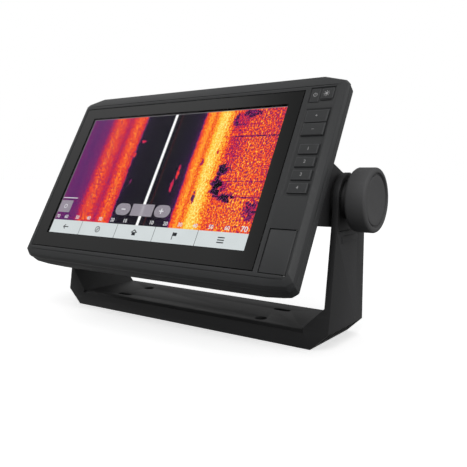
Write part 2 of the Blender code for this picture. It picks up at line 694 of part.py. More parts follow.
# ---------------------------------------------------------------- unit: rear
def make_rear_cover():
    """The back shell, whose sides are cut at 45 degrees to pass between the bracket's arms."""
    sides = [
        housing_ring(COVER_FRONT, 129.4 * MM, 81.2 * MM, RIM_BOTTOM),
        housing_ring(13.5 * MM, 129.0 * MM, 80.8 * MM, -77.2 * MM),
        housing_ring(24.5 * MM, 118.0 * MM, 76.0 * MM, -75.0 * MM, crown=100 * MM),
        housing_ring(40.0 * MM, 102.5 * MM, 70.0 * MM, -66.5 * MM, crown=88 * MM),
        housing_ring(COVER_BACK, 91.0 * MM, 60.0 * MM, -56.0 * MM, crown=78 * MM),
    ]
    cover = loft("rear_cover", sides, HOUSING, TILT)
    inside = [
        housing_ring(COVER_FRONT - 1.0 * MM, 125.6 * MM, 77.4 * MM, -72.4 * MM, crown=106 * MM),
        housing_ring(13.0 * MM, 125.4 * MM, 77.2 * MM, -73.6 * MM, crown=106 * MM),
        housing_ring(23.2 * MM, 114.8 * MM, 72.6 * MM, -71.6 * MM, crown=97 * MM),
        housing_ring(38.6 * MM, 99.4 * MM, 66.8 * MM, -63.4 * MM, crown=85 * MM),
        housing_ring(COVER_BACK - WALL, 88.6 * MM, 57.4 * MM, -53.4 * MM, crown=75 * MM),
    ]
    hollow = loft("cover_hollow", inside, None, TILT)
    posts, bores, shanks, screws = [], [], [], []
    for across in SCREW_POSTS_X:
        for height in (SCREW_POST_TOP, SCREW_POST_BOTTOM):
            posts.append((on_unit(across, 30.0 * MM, height), 44.8 * MM))
            bores.append((on_unit(across, 36.0 * MM, height), 40.0 * MM))
            shanks.append((on_unit(across, 12.0 * MM, height), 12.0 * MM))
            screws.append((across, height))
    combine(hollow, rods("cover_posts", "Y", 5.6 * MM, posts, None, TILT, 12))
    combine(cover, hollow)
    combine(cover, rods("screw_counterbores", "Y", 3.8 * MM, bores, None, TILT, 12))
    combine(cover, rods("screw_shank_holes", "Y", 1.9 * MM, shanks, None, TILT, 10))
    for name, across in (("left", -33.6 * MM), ("right", 24.4 * MM)):
        pocket = unit_block(f"peg_pocket_{name}", across, across + 9.2 * MM, 48.3 * MM, 52.0 * MM,
                            -45.6 * MM, -37.4 * MM)
        combine(cover, pocket)
    catch = unit_block("latch_notch", -16.6 * MM, 16.6 * MM, 48.3 * MM, 52.0 * MM,
                       35.0 * MM, 42.0 * MM)
    combine(cover, catch)
    opening = unit_block("unit_contact_opening", -20.3 * MM, 20.3 * MM, 46.0 * MM, 52.0 * MM,
                         -22.3 * MM, 0.3 * MM)
    combine(cover, opening)
    vent_place = on_unit(62.0 * MM, 0.0, -30.0 * MM)
    vent_hole = on_unit(62.0 * MM, 49.0 * MM, -30.0 * MM)
    combine(cover, rods("vent_hole", "Y", 5.3 * MM, [(vent_hole, 8.0 * MM)], None, TILT, 16))
    vent_profile = [(0.0, 50.6 * MM), (5.0 * MM, 50.6 * MM), (5.0 * MM, 47.4 * MM), (0.0, 47.4 * MM)]
    vent = turned("vent_plug", "Y", vent_profile, RUBBER, TILT, 16)
    vent.location = vent_place
    make_case_screws(screws)
    make_gasket()


def make_case_screws(places):
    """Six screws, driven from the back into the bezel's posts."""
    for number, (across, height) in enumerate(places):
        shape = [
            (0.0, 19.0 * MM),
            (2.4 * MM, 19.0 * MM),
            (3.2 * MM, 18.2 * MM),
            (3.2 * MM, 16.3 * MM),
            (1.5 * MM, 16.3 * MM),
            (1.5 * MM, 4.4 * MM),
            (0.0, 4.4 * MM),
        ]
        screw = turned(f"case_screw_{number + 1}", "Y", shape, STEEL, TILT, 12)
        screw.location = on_unit(across, 0.0, height)


def make_gasket():
    """The seal squeezed between the bezel and the rear cover."""
    outer = loft("case_gasket", [
        housing_ring(7.15 * MM, 128.4 * MM, 80.2 * MM, -75.0 * MM),
        housing_ring(7.45 * MM, 128.4 * MM, 80.2 * MM, -75.0 * MM),
    ], RUBBER, TILT)
    inner = loft("gasket_inside", [
        housing_ring(6.5 * MM, 126.0 * MM, 77.9 * MM, -72.9 * MM, crown=106 * MM),
        housing_ring(8.0 * MM, 126.0 * MM, 77.9 * MM, -72.9 * MM, crown=106 * MM),
    ], None, TILT)
    combine(outer, inner)


def make_electronics():
    """The main board on its standoffs, with what it carries and the heat spreader."""
    number = 0
    for across in (-86 * MM, 74 * MM):
        for height in (-44 * MM, 44 * MM):
            number += 1
            middle = on_unit(across, 10.6 * MM, height)
            rods(f"standoff_{number}", "Y", 2.6 * MM, [(middle, 6.2 * MM)], BRASS, TILT, 6)
    board = unit_block("main_board", -98 * MM, 86 * MM, 14.0 * MM, 15.6 * MM, -52 * MM, 52 * MM,
                       BOARD)
    chips = []
    for left, bottom, width, tall, high in ((-30, -12, 22, 22, 1.6), (-2, -8, 12, 14, 1.2),
                                            (14, -8, 12, 14, 1.2), (-60, 20, 16, 12, 2.2),
                                            (40, -40, 18, 12, 3.0), (-90, -40, 10, 18, 4.0)):
        low = on_unit(left * MM, 15.2 * MM, bottom * MM)
        high_corner = on_unit((left + width) * MM, (15.9 + high) * MM, (bottom + tall) * MM)
        chips.append((low, high_corner))
    combine(board, blocks("board_chips", chips, None, TILT), "UNION")
    spreader = unit_block("heat_spreader", -36 * MM, 30 * MM, 17.9 * MM, 25.0 * MM,
                          -18 * MM, 16 * MM, ALUMINIUM)
    grooves = []
    for i in range(7):
        left = (-32.5 + 8.9 * i) * MM
        grooves.append((on_unit(left, 19.6 * MM, -19 * MM), on_unit(left + 6.6 * MM, 26 * MM, 17 * MM)))
    combine(spreader, blocks("fin_gaps", grooves, None, TILT))
    unit_block("gps_antenna", 44 * MM, 69 * MM, 15.9 * MM, 20.2 * MM, 10 * MM, 35 * MM,
               CERAMIC, 0.6 * MM)
    buzzer_profile = [(0.0, 20.4 * MM), (5.6 * MM, 20.4 * MM), (6.4 * MM, 19.6 * MM),
                      (6.4 * MM, 15.9 * MM), (0.0, 15.9 * MM)]
    buzzer = turned("buzzer", "Y", buzzer_profile, NYLON, TILT, 20)
    buzzer.location = on_unit(-50 * MM, 0.0, -34 * MM)


make_bracket()
make_knobs()
make_cradle()
make_connectors()
make_bezel()
make_front_pieces()
make_card_bay()
make_rear_cover()
make_electronics()
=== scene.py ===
import json
import math

import bmesh
import bpy
from mathutils import Matrix, Vector


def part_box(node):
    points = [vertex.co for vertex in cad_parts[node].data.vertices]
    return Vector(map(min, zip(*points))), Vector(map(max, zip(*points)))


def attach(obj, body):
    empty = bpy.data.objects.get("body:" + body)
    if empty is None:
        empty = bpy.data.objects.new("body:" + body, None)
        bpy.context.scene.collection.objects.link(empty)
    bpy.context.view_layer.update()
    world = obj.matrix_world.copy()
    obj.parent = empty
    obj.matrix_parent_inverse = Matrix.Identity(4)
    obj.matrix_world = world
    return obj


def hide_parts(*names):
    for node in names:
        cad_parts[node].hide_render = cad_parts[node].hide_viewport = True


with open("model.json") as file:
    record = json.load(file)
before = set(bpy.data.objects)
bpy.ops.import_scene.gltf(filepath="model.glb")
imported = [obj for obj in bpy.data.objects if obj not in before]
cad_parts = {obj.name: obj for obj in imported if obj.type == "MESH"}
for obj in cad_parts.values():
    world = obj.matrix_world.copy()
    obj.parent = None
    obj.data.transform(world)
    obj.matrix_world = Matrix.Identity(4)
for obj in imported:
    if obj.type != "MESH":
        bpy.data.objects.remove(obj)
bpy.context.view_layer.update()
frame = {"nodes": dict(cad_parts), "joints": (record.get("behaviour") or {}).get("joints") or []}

MM = 0.001


# ------------------------------------------------------------------ bail bracket
# The U that is screwed to the dash: one moulding in glass-filled nylon with ribs under its base.
# The mould rounds every edge a little and leaves a fine spark-eroded skin on it.
def screen_colour(red, green, blue):
    """A colour picked on a screen, as the linear values that a shader takes."""
    linear = []
    for value in (red, green, blue):
        share = value / 255
        linear.append(share / 12.92 if share <= 0.04045 else ((share + 0.055) / 1.055) ** 2.4)
    return (*linear, 1.0)


def add_node(tree, kind, settings=None, feeds=None):
    """A shader node with its settings, each input given a value or linked to a socket."""
    made = tree.nodes.new(kind)
    for name, value in (settings or {}).items():
        setattr(made, name, value)
    for key, feed in (feeds or {}).items():
        if isinstance(feed, bpy.types.NodeSocket):
            tree.links.new(feed, made.inputs[key])
        else:
            made.inputs[key].default_value = feed
    return made


def sum_of(tree, operation, *values, clamp=False):
    feeds = dict(enumerate(values))
    settings = {"operation": operation, "use_clamp": clamp}
    return add_node(tree, "ShaderNodeMath", settings, feeds).outputs[0]


def blend_colours(tree, share, first, second, how="MIX"):
    settings = {"data_type": "RGBA", "blend_type": how}
    mix = add_node(tree, "ShaderNodeMix", settings, {0: share, 6: first, 7: second})
    return mix.outputs[2]


def ramp(tree, value, stops, interpolation="LINEAR"):
    """A colour ramp through (place, colour or grey) stops."""
    made = add_node(tree, "ShaderNodeValToRGB", None, {"Fac": value})
    made.color_ramp.interpolation = interpolation
    for number, (place, colour) in enumerate(stops):
        if number < 2:
            stop = made.color_ramp.elements[number]
            stop.position = place
        else:
            stop = made.color_ramp.elements.new(place)
        stop.color = colour if isinstance(colour, tuple) else (colour, colour, colour, 1.0)
    return made.outputs["Color"]


def moulded_skin():
    """The skin that a spark-eroded mould leaves: fine pebbles, faint scuffs and rubbed edges."""
    tree = bpy.data.node_groups.new("moulded_skin", "ShaderNodeTree")
    sockets = (("Colour", "NodeSocketColor"), ("Rubbed Colour", "NodeSocketColor"),
               ("Pebbles Per Metre", "NodeSocketFloat"), ("Roughness", "NodeSocketFloat"),
               ("Rub", "NodeSocketFloat"))
    for name, kind in sockets:
        tree.interface.new_socket(name=name, in_out="INPUT", socket_type=kind)
    for name, kind in (("Colour", "NodeSocketColor"), ("Roughness", "NodeSocketFloat"),
                       ("Height", "NodeSocketFloat")):
        tree.interface.new_socket(name=name, in_out="OUTPUT", socket_type=kind)
    given = tree.nodes.new("NodeGroupInput").outputs
    place = add_node(tree, "ShaderNodeTexCoord").outputs["Object"]
    pebbles = add_node(tree, "ShaderNodeTexVoronoi", {"feature": "SMOOTH_F1"},
                       {"Vector": place, "Scale": given["Pebbles Per Metre"]}).outputs["Distance"]
    dust = add_node(tree, "ShaderNodeTexNoise", None,
                    {"Vector": place, "Scale": 2600.0, "Detail": 3.0}).outputs["Fac"]
    drift = add_node(tree, "ShaderNodeTexNoise", None,
                     {"Vector": place, "Scale": 16.0, "Detail": 2.0}).outputs["Fac"]
    scuff_place = add_node(tree, "ShaderNodeMapping", None,
                           {"Vector": place, "Rotation": (0.3, 0.5, 0.2), "Scale": (1.0, 9.0, 5.0)})
    scuffs = add_node(tree, "ShaderNodeTexNoise", None,
                      {"Vector": scuff_place.outputs[0], "Scale": 55.0, "Detail": 6.0}).outputs["Fac"]
    scuffed = ramp(tree, scuffs, ((0.60, 0.0), (0.72, 1.0)))
    edges = add_node(tree, "ShaderNodeNewGeometry").outputs["Pointiness"]
    rubbed = ramp(tree, edges, ((0.515, 0.0), (0.60, 1.0)))
    rubbed = sum_of(tree, "MULTIPLY", rubbed, given["Rub"])
    rubbed = sum_of(tree, "MULTIPLY", rubbed, sum_of(tree, "ADD", drift, 0.4), clamp=True)
    shade = sum_of(tree, "MULTIPLY_ADD", drift, 0.30, 0.85)
    speck = sum_of(tree, "MULTIPLY_ADD", dust, 0.24, 0.88)
    toned = blend_colours(tree, 1.0, given["Colour"], sum_of(tree, "MULTIPLY", shade, speck), "MULTIPLY")
    coloured = blend_colours(tree, rubbed, toned, given["Rubbed Colour"])
    rough = sum_of(tree, "MULTIPLY_ADD", scuffed, -0.10, given["Roughness"])
    rough = sum_of(tree, "MULTIPLY_ADD", drift, 0.12, rough)
    rough = sum_of(tree, "MULTIPLY_ADD", rubbed, -0.16, rough, clamp=True)
    height = sum_of(tree, "MULTIPLY_ADD", dust, 0.5, pebbles)
    feeds = {"Colour": coloured, "Roughness": rough, "Height": height}
    add_node(tree, "NodeGroupOutput", None, feeds)
    return tree


SKIN = moulded_skin()


def start_material(name):
    material = bpy.data.materials.new(name)
    material.use_nodes = True
    return material, material.node_tree, material.node_tree.nodes["Principled BSDF"]


def moulded(name, colour, rubbed, pebbles, roughness, relief, rub=0.5):
    """A moulded plastic or rubber, with the skin's pebbles raised by relief metres."""
    material, tree, shader = start_material(name)
    feeds = {"Colour": colour, "Rubbed Colour": rubbed, "Pebbles Per Metre": pebbles,
             "Roughness": roughness, "Rub": rub}
    skin = add_node(tree, "ShaderNodeGroup", {"node_tree": SKIN}, feeds)
    bump = add_node(tree, "ShaderNodeBump", None,
                    {"Strength": 0.6, "Distance": relief, "Height": skin.outputs["Height"]})
    tree.links.new(skin.outputs["Colour"], shader.inputs["Base Color"])
    tree.links.new(skin.outputs["Roughness"], shader.inputs["Roughness"])
    tree.links.new(bump.outputs[0], shader.inputs["Normal"])
    return material


def finish(piece, material):
    piece.data.materials.clear()
    piece.data.materials.append(material)


def alone(piece):
    """Select one piece only, for the operators that follow."""
    bpy.ops.object.select_all(action="DESELECT")
    piece.select_set(True)
    bpy.context.view_layer.objects.active = piece


def copy_of(node, name):
    """A CAD piece's own shape, its loose triangles joined and its flat faces made whole."""
    piece = bpy.data.objects.new(name, frame["nodes"][node].data.copy())
    bpy.context.scene.collection.objects.link(piece)
    alone(piece)
    bpy.ops.object.mode_set(mode="EDIT")
    bpy.ops.mesh.select_all(action="SELECT")
    bpy.ops.mesh.remove_doubles(threshold=0.00002)
    bpy.ops.mesh.dissolve_limited(angle_limit=math.radians(0.6))
    bpy.ops.object.mode_set(mode="OBJECT")
    return piece


def round_edges(piece, width, segments=2, sharper_than=30.0, clamp=True):
    """Round each edge sharper than an angle, and shade the rest smooth."""
    alone(piece)
    bevel = piece.modifiers.new("rounded_edges", "BEVEL")
    bevel.width = width
    bevel.segments = segments
    bevel.limit_method = "ANGLE"
    bevel.angle_limit = math.radians(sharper_than)
    bevel.use_clamp_overlap = clamp
    bevel.harden_normals = False
    bpy.ops.object.modifier_apply(modifier="rounded_edges")
    bpy.ops.object.shade_smooth_by_angle(angle=math.radians(38))


def fix(piece, body, slot, *stands_for):
    """Put a finished piece on its body and hide the CAD nodes that it stands for. The slot is not used."""
    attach(piece, body)
    if stands_for:
        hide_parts(*stands_for)


NYLON = moulded("bracket_nylon", screen_colour(38, 38, 39), screen_colour(66, 66, 68),
                1500.0, 0.56, 0.00009, 0.5)
bracket = copy_of("bail_bracket", "bracket_moulding")
round_edges(bracket, 0.4 * MM, 2, 32.0)
finish(bracket, NYLON)
fix(bracket, "bracket", "glass_filled_nylon", "bail_bracket")


# ------------------------------------------------------------------ friction pads and washers
# Black rubber rings between the bracket's arms and the cradle's ears, and the stainless slip
# washers and studs of the knobs. They are mostly hidden, so the CAD pieces stay.
def metal(name, colour, roughness, stretch, contrast=0.25):
    """Bare metal with fine lines along the axis that stretch makes longest."""
    material, tree, shader = start_material(name)
    place = add_node(tree, "ShaderNodeTexCoord").outputs["Object"]
    along = add_node(tree, "ShaderNodeMapping", None, {"Vector": place, "Scale": stretch}).outputs[0]
    lines = add_node(tree, "ShaderNodeTexNoise", None,
                     {"Vector": along, "Scale": 900.0, "Detail": 4.0}).outputs["Fac"]
    stain = add_node(tree, "ShaderNodeTexNoise", None,
                     {"Vector": place, "Scale": 60.0, "Detail": 3.0}).outputs["Fac"]
    dark = tuple(0.55 * part for part in colour[:3]) + (1.0,)
    toned = blend_colours(tree, sum_of(tree, "MULTIPLY", stain, contrast), colour, dark)
    rough = sum_of(tree, "MULTIPLY_ADD", lines, 0.22, roughness)
    bump = add_node(tree, "ShaderNodeBump", None,
                    {"Strength": 0.35, "Distance": 0.00003, "Height": lines})
    tree.links.new(toned, shader.inputs["Base Color"])
    tree.links.new(rough, shader.inputs["Roughness"])
    tree.links.new(bump.outputs[0], shader.inputs["Normal"])
    shader.inputs["Metallic"].default_value = 1.0
    return material


def finish_nodes(material, *names):
    for name in names:
        finish(frame["nodes"][name], material)


STEEL = metal("stainless_steel", (0.62, 0.62, 0.60, 1.0), 0.24, (1.0, 14.0, 14.0))
SEAL_RUBBER = moulded("seal_rubber", screen_colour(26, 26, 26), screen_colour(48, 48, 48),
                      2200.0, 0.74, 0.00004, 0.2)
finish_nodes(SEAL_RUBBER, "friction_pad_left", "friction_pad_right")
finish_nodes(STEEL, "knob_washer_left", "knob_washer_right", "knob_stud_left", "knob_stud_right")


# ------------------------------------------------------------------ knobs
# A large clamping knob on each side, moulded on its stud. The body is a soft matt plastic with
# a rolled shoulder, a rim, a groove inside the rim and a shallow dished cap.
TILT_HEIGHT = next(j for j in frame["joints"] if j["name"] == "unit_tilt")["pos_m"][2]
KNOB_PLASTIC = moulded("knob_plastic", screen_colour(86, 86, 87), screen_colour(112, 112, 114),
                       1150.0, 0.60, 0.00007, 0.35)


def choose(piece, wanted):
    """In edit mode, select only the faces that wanted() picks by their middle and normal."""
    bpy.ops.mesh.select_mode(type="FACE")
    bpy.ops.mesh.select_all(action="DESELECT")
    cage = bmesh.from_edit_mesh(piece.data)
    for face in cage.faces:
        face.select_set(wanted(face.calc_center_median(), face.normal))
    bmesh.update_edit_mesh(piece.data)


def started(name):
    """Name the primitive that was just added, with its place taken into its mesh."""
    piece = bpy.context.active_object
    piece.name = name
    piece.data.name = name
    alone(piece)
    bpy.ops.object.transform_apply(location=True, rotation=True, scale=True)
    return piece


def step_in(steps):
    """Inset the chosen cap by each step's first value and raise it by the second."""
    for thickness, rise in steps:
        bpy.ops.mesh.inset(thickness=thickness * MM, depth=rise * MM, use_boundary=True)


# Each step towards the middle of the knob's face or back: how far in, and how far out, in mm
KNOB_FRONT = ((0.12, 0.45), (0.30, 0.50), (0.45, 0.40), (0.60, 0.25), (0.70, 0.10), (0.9, 0.0),
              (0.22, -0.10), (0.14, -0.30), (0.20, -1.15), (0.16, -0.16), (0.85, 0.0),
              (0.16, 0.16), (0.16, 0.42), (0.24, 0.28), (0.45, 0.12), (3.2, -0.42), (4.4, -0.34),
              (5.0, -0.10))
KNOB_BACK = ((0.30, 0.75), (0.65, 0.85), (0.85, 0.55), (0.5, 0.10), (8.0, 0.0), (5.6, 0.0),
             (0.35, -0.35), (0.05, -8.9))
for side, way in (("left", -1), ("right", 1)):
    low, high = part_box(f"knob_{side}")
    radius = (high.y - low.y) / 2
    back = min(abs(low.x), abs(high.x)) + sum(rise for _, rise in KNOB_BACK[:4]) * MM
    waist = max(abs(low.x), abs(high.x)) - back - sum(rise for _, rise in KNOB_FRONT[:5]) * MM
    bpy.ops.object.select_all(action="DESELECT")
    bpy.ops.mesh.primitive_cylinder_add(
        vertices=128, radius=radius, depth=waist, rotation=(0.0, math.pi / 2, 0.0),
        location=(way * (back + waist / 2), 0.0, TILT_HEIGHT))
    knob = started(f"clamp_knob_{side}")
    bpy.ops.object.mode_set(mode="EDIT")
    choose(knob, lambda middle, normal: normal.x * way > 0.9)
    step_in(KNOB_FRONT)
    choose(knob, lambda middle, normal: normal.x * way < -0.9)
    step_in(KNOB_BACK)
    bpy.ops.object.mode_set(mode="OBJECT")
    bpy.ops.object.shade_smooth_by_angle(angle=math.radians(50))
    finish(knob, KNOB_PLASTIC)
    fix(knob, f"{side}_knob", "glass_filled_nylon", f"knob_{side}")


# ------------------------------------------------------------------ cradle and its latch
# The quick-release cradle: a nylon plate whose ears take the knobs' studs in brass inserts, with
# rubber pads for the unit. A sprung lever on a steel pin holds the unit's top in.
cradle = copy_of("cradle_shell", "cradle_moulding")
round_edges(cradle, 0.4 * MM, 2, 30.0)
finish(cradle, NYLON)
fix(cradle, "unit", "glass_filled_nylon", "cradle_shell")

lever = copy_of("latch_lever", "latch_lever_moulding")
round_edges(lever, 0.35 * MM, 2, 30.0, False)
finish(lever, NYLON)
fix(lever, "latch", "glass_filled_nylon", "latch_lever")

BRASS = metal("turned_brass", (0.72, 0.52, 0.22, 1.0), 0.28, (14.0, 1.0, 1.0))
finish_nodes(BRASS, "cradle_insert_left", "cradle_insert_right")
finish_nodes(SEAL_RUBBER, "cradle_pad_left", "cradle_pad_right")
finish_nodes(STEEL, "latch_pin", "latch_spring")


# ------------------------------------------------------------------ connectors
# The cradle's contact block and its two threaded sockets for the power and sonar cables, in
# satin black plastic, with gold-plated pins standing in each.
HOUSING = moulded("satin_housing", screen_colour(55, 56, 57), screen_colour(84, 85, 87),
                  1900.0, 0.46, 0.00006, 0.45)
GOLD = metal("gold_plate", (0.83, 0.62, 0.28, 1.0), 0.18, (1.0, 1.0, 1.0), 0.1)
finish_nodes(HOUSING, "cradle_contact_block", "unit_contact_block", "socket_power", "socket_sonar")

# The leaning unit's own directions: right, into its depth, and up its face
ACROSS = Vector((1.0, 0.0, 0.0))
INWARD = Vector(next(j for j in frame["joints"] if j["name"] == "key_1_press")["axis"])
UPWARD = Vector(next(j for j in frame["joints"] if j["name"] == "card_door_swing")["axis"])
AXIS_DEPTH = 44.5 * MM
AXIS_HEIGHT = 7.0 * MM
FACE_MIDDLE = Vector((0.0, 0.0, TILT_HEIGHT)) - INWARD * AXIS_DEPTH - UPWARD * AXIS_HEIGHT
LEANED = Matrix.Translation(FACE_MIDDLE) @ Matrix((ACROSS, INWARD, UPWARD)).transposed().to_4x4()


def lean(piece):
    """Take a piece made around its own face into the leaning unit's place."""
    piece.data.transform(LEANED)
    piece.data.update()
    return piece


def face_box(node):
    """A CAD node's low and high corner in the unit's own directions."""
    upright = LEANED.inverted()
    places = [upright @ vertex.co for vertex in frame["nodes"][node].data.vertices]
    low = Vector(min(place[i] for place in places) for i in range(3))
    high = Vector(max(place[i] for place in places) for i in range(3))
    return low, high


def joined(name, pieces):
    bpy.ops.object.select_all(action="DESELECT")
    for piece in pieces:
        piece.select_set(True)
    bpy.context.view_layer.objects.active = pieces[0]
    bpy.ops.object.join()
    whole = bpy.context.active_object
    whole.name = name
    whole.data.name = name
    return whole


PIN_RING = 4.8 * MM
for socket, count in (("socket_power", 4), ("socket_sonar", 6)):
    low, high = face_box(socket)
    middle = (low + high) / 2
    pins = []
    for number in range(count):
        turn = 2 * math.pi * number / count
        bpy.ops.object.select_all(action="DESELECT")
        bpy.ops.mesh.primitive_cylinder_add(
            vertices=16, radius=0.75 * MM, depth=4.6 * MM, rotation=(math.pi / 2, 0.0, 0.0),
            location=(middle.x + PIN_RING * math.cos(turn), low.y + 3.9 * MM,
                      middle.z + PIN_RING * math.sin(turn)))
        pin = started("pin")
        bpy.ops.object.mode_set(mode="EDIT")
        choose(pin, lambda middle, normal: normal.y > 0.9)
        step_in(((0.15, 0.22), (0.22, 0.14)))
        bpy.ops.object.mode_set(mode="OBJECT")
        pins.append(pin)
    pins = lean(joined(f"{socket}_pins", pins))
    bpy.ops.object.shade_smooth_by_angle(angle=math.radians(50))
    finish(pins, GOLD)
    fix(pins, "unit", "brass")


# ------------------------------------------------------------------ rear cover
# The unit's back shell, in the same satin plastic as its front, with its sides cut at 45 degrees
# to pass the bracket's arms. Six steel screws in deep holes hold it to the front.
cover = copy_of("rear_cover", "rear_shell")
round_edges(cover, 0.7 * MM, 3, 24.0, False)
finish(cover, HOUSING)
fix(cover, "unit", "housing_plastic", "rear_cover")
finish_nodes(SEAL_RUBBER, "vent_plug", "case_gasket")
finish_nodes(STEEL, *[f"case_screw_{number}" for number in range(1, 7)])


# ------------------------------------------------------------------ electronics
# What the case holds: boards in green laminate, a finned spreader and a pressed chassis in
# aluminium, a fired antenna block, a card in its steel reader, and brass standoffs.
def laminate():
    """Green solder mask with paler tracks under it."""
    material, tree, shader = start_material("board_laminate")
    place = add_node(tree, "ShaderNodeTexCoord").outputs["Object"]
    cells = add_node(tree, "ShaderNodeTexVoronoi", {"distance": "CHEBYCHEV"},
                     {"Vector": place, "Scale": 260.0}).outputs["Distance"]
    tracks = ramp(tree, cells, ((0.40, 0.0), (0.44, 1.0)))
    green = blend_colours(tree, tracks, (0.012, 0.085, 0.036, 1.0), (0.03, 0.19, 0.08, 1.0))
    bump = add_node(tree, "ShaderNodeBump", None,
                    {"Strength": 0.5, "Distance": 0.00005, "Height": tracks})
    tree.links.new(green, shader.inputs["Base Color"])
    tree.links.new(bump.outputs[0], shader.inputs["Normal"])
    shader.inputs["Roughness"].default_value = 0.38
    return material


ALUMINIUM = metal("pressed_aluminium", (0.70, 0.71, 0.72, 1.0), 0.34, (1.0, 10.0, 10.0))
CERAMIC = moulded("antenna_ceramic", (0.50, 0.45, 0.37, 1.0), (0.62, 0.58, 0.50, 1.0),
                  900.0, 0.45, 0.00003, 0.3)
finish_nodes(laminate(), "main_board", "key_board")
finish_nodes(ALUMINIUM, "display_chassis", "heat_spreader")
finish_nodes(CERAMIC, "gps_antenna")
finish_nodes(HOUSING, "buzzer", "memory_card")
finish_nodes(STEEL, "card_reader")
finish_nodes(BRASS, *[f"standoff_{number}" for number in range(1, 5)])


# ------------------------------------------------------------------ front bezel
# The front moulding. Its rim flares out and back round the face, a thin groove runs along the
# face's top and bottom, and the glass, the keys and the card door lie in seats sunk into it.
GAP = 0.3 * MM
bezel_low, bezel_high = face_box("front_bezel")
glass_low, glass_high = face_box("cover_glass")
panel_low, panel_high = face_box("display_panel")
door_low, door_high = face_box("card_door")
CROWN = 110.0 * MM           # half the width of the straight top, where it starts to fall
FACE_SIDE = 125.3 * MM
FACE_TOP = 70.5 * MM
FACE_BOTTOM = -69.3 * MM
RIM_WALL = 3.4 * MM
FLOOR_DEPTH = 3.8 * MM       # the face's thickness, from the back
SEAT_DEPTH = 1.85 * MM
SINK = 0.9 * MM
KEY_GAP = 0.18 * MM
CLEAR = 2.0 * MM             # how far a cutter stands out of the face


def rim_outline(depth, side, top, bottom, fall):
    """Twelve corners round the unit: a crowned top, straight sides and cut lower corners."""
    half = [(CROWN, top), (side - 2.6 * MM, top - fall), (side, top - fall - 2.4 * MM),
            (side, bottom + 4.4 * MM), (side - 4.0 * MM, bottom + 1.2 * MM), (CROWN, bottom)]
    outline = half + [(-across, height) for across, height in reversed(half)]
    return [Vector((across, depth, height)) for across, height in outline]


def box_at(name, low, high):
    """A block between two corners, made from a cube primitive."""
    low, high = Vector(low), Vector(high)
    bpy.ops.object.select_all(action="DESELECT")
    bpy.ops.mesh.primitive_cube_add(size=1.0, location=(low + high) / 2, scale=high - low)
    return started(name)


def cut(piece, cutter):
    alone(piece)
    boolean = piece.modifiers.new("cut", "BOOLEAN")
    boolean.operation = "DIFFERENCE"
    boolean.solver = "EXACT"
    boolean.object = cutter
    bpy.ops.object.modifier_apply(modifier="cut")
    bpy.data.objects.remove(cutter)


def sink(left, right, bottom, top, depth, slope):
    """A cutter for a recess whose outline is given at the face and whose walls slope in."""
    cutter = box_at("sink", (left - slope, -depth, bottom - slope), (right + slope, depth, top + slope))
    middle_x, middle_z = (left + right) / 2, (bottom + top) / 2
    for vertex in cutter.data.vertices:
        if vertex.co.y > 0.0:
            vertex.co.x += 2.0 * slope if vertex.co.x < middle_x else -2.0 * slope
            vertex.co.z += 2.0 * slope if vertex.co.z < middle_z else -2.0 * slope
    return cutter


outlines = [
    rim_outline(bezel_high.y, bezel_high.x, bezel_high.z, bezel_low.z, 4.6 * MM),
    rim_outline(4.5 * MM, bezel_high.x, 81.2 * MM, -75.6 * MM, 4.6 * MM),
    rim_outline(2.0 * MM, 129.2 * MM, 79.2 * MM, -74.0 * MM, 4.6 * MM),
    rim_outline(0.0, FACE_SIDE, FACE_TOP, FACE_BOTTOM, 0.3 * MM),
]
bpy.ops.object.select_all(action="DESELECT")
bpy.ops.mesh.primitive_circle_add(vertices=len(outlines[0]), radius=0.1, fill_type="NGON",
                                  rotation=(math.pi / 2, 0.0, 0.0))
bezel = started("bezel_moulding")
for vertex, place in zip(bezel.data.vertices, outlines[0]):
    vertex.co = place
bpy.ops.object.mode_set(mode="EDIT")
bpy.ops.mesh.select_all(action="SELECT")
for before, after in zip(outlines, outlines[1:]):
    bpy.ops.mesh.extrude_region_move()
    cage = bmesh.from_edit_mesh(bezel.data)
    for vertex in [v for v in cage.verts if v.select]:
        nearest = min(range(len(before)), key=lambda i: (before[i] - vertex.co).length)
        vertex.co = after[nearest]
    bmesh.update_edit_mesh(bezel.data)
choose(bezel, lambda middle, normal: middle.y > bezel_high.y - 0.01 * MM)
bpy.ops.mesh.inset(thickness=RIM_WALL, depth=0.0)
bpy.ops.mesh.extrude_region_move(TRANSFORM_OT_translate={"value": (0.0, -FLOOR_DEPTH, 0.0)})
bpy.ops.mesh.select_all(action="SELECT")
bpy.ops.mesh.normals_make_consistent(inside=False)
bpy.ops.object.mode_set(mode="OBJECT")

seat_low = glass_low - Vector((GAP, 0.0, GAP))
seat_high = glass_high + Vector((GAP, 0.0, GAP))
cut(bezel, box_at("seat", (seat_low.x, -CLEAR, seat_low.z), (seat_high.x, SEAT_DEPTH, seat_high.z)))
cut(bezel, box_at("window", (panel_low.x - GAP, -3.0 * MM, panel_low.z - GAP),
                  (panel_high.x + GAP, 9.0 * MM, panel_high.z + GAP)))
for name, bottom in (("top_groove", FACE_TOP - 0.1 * MM), ("bottom_groove", FACE_BOTTOM - 0.4 * MM)):
    cut(bezel, box_at(name, (-FACE_SIDE, -1.0 * MM, bottom), (FACE_SIDE, 0.6 * MM, bottom + 0.5 * MM)))
key_nodes = ["key_power", "key_light", "key_zoom_in", "key_zoom_out", "key_1", "key_2", "key_3", "key_4"]
cut(bezel, sink(104.7 * MM, 124.2 * MM, -13.8 * MM, 52.2 * MM, SINK, SINK))
cut(bezel, sink(104.5 * MM, 123.4 * MM, 56.6 * MM, 69.2 * MM, 0.8 * MM, 0.15 * MM))
cut(bezel, box_at("status_slot", (113.4 * MM, -CLEAR, 58.1 * MM), (121.6 * MM, 1.5 * MM, 59.1 * MM)))
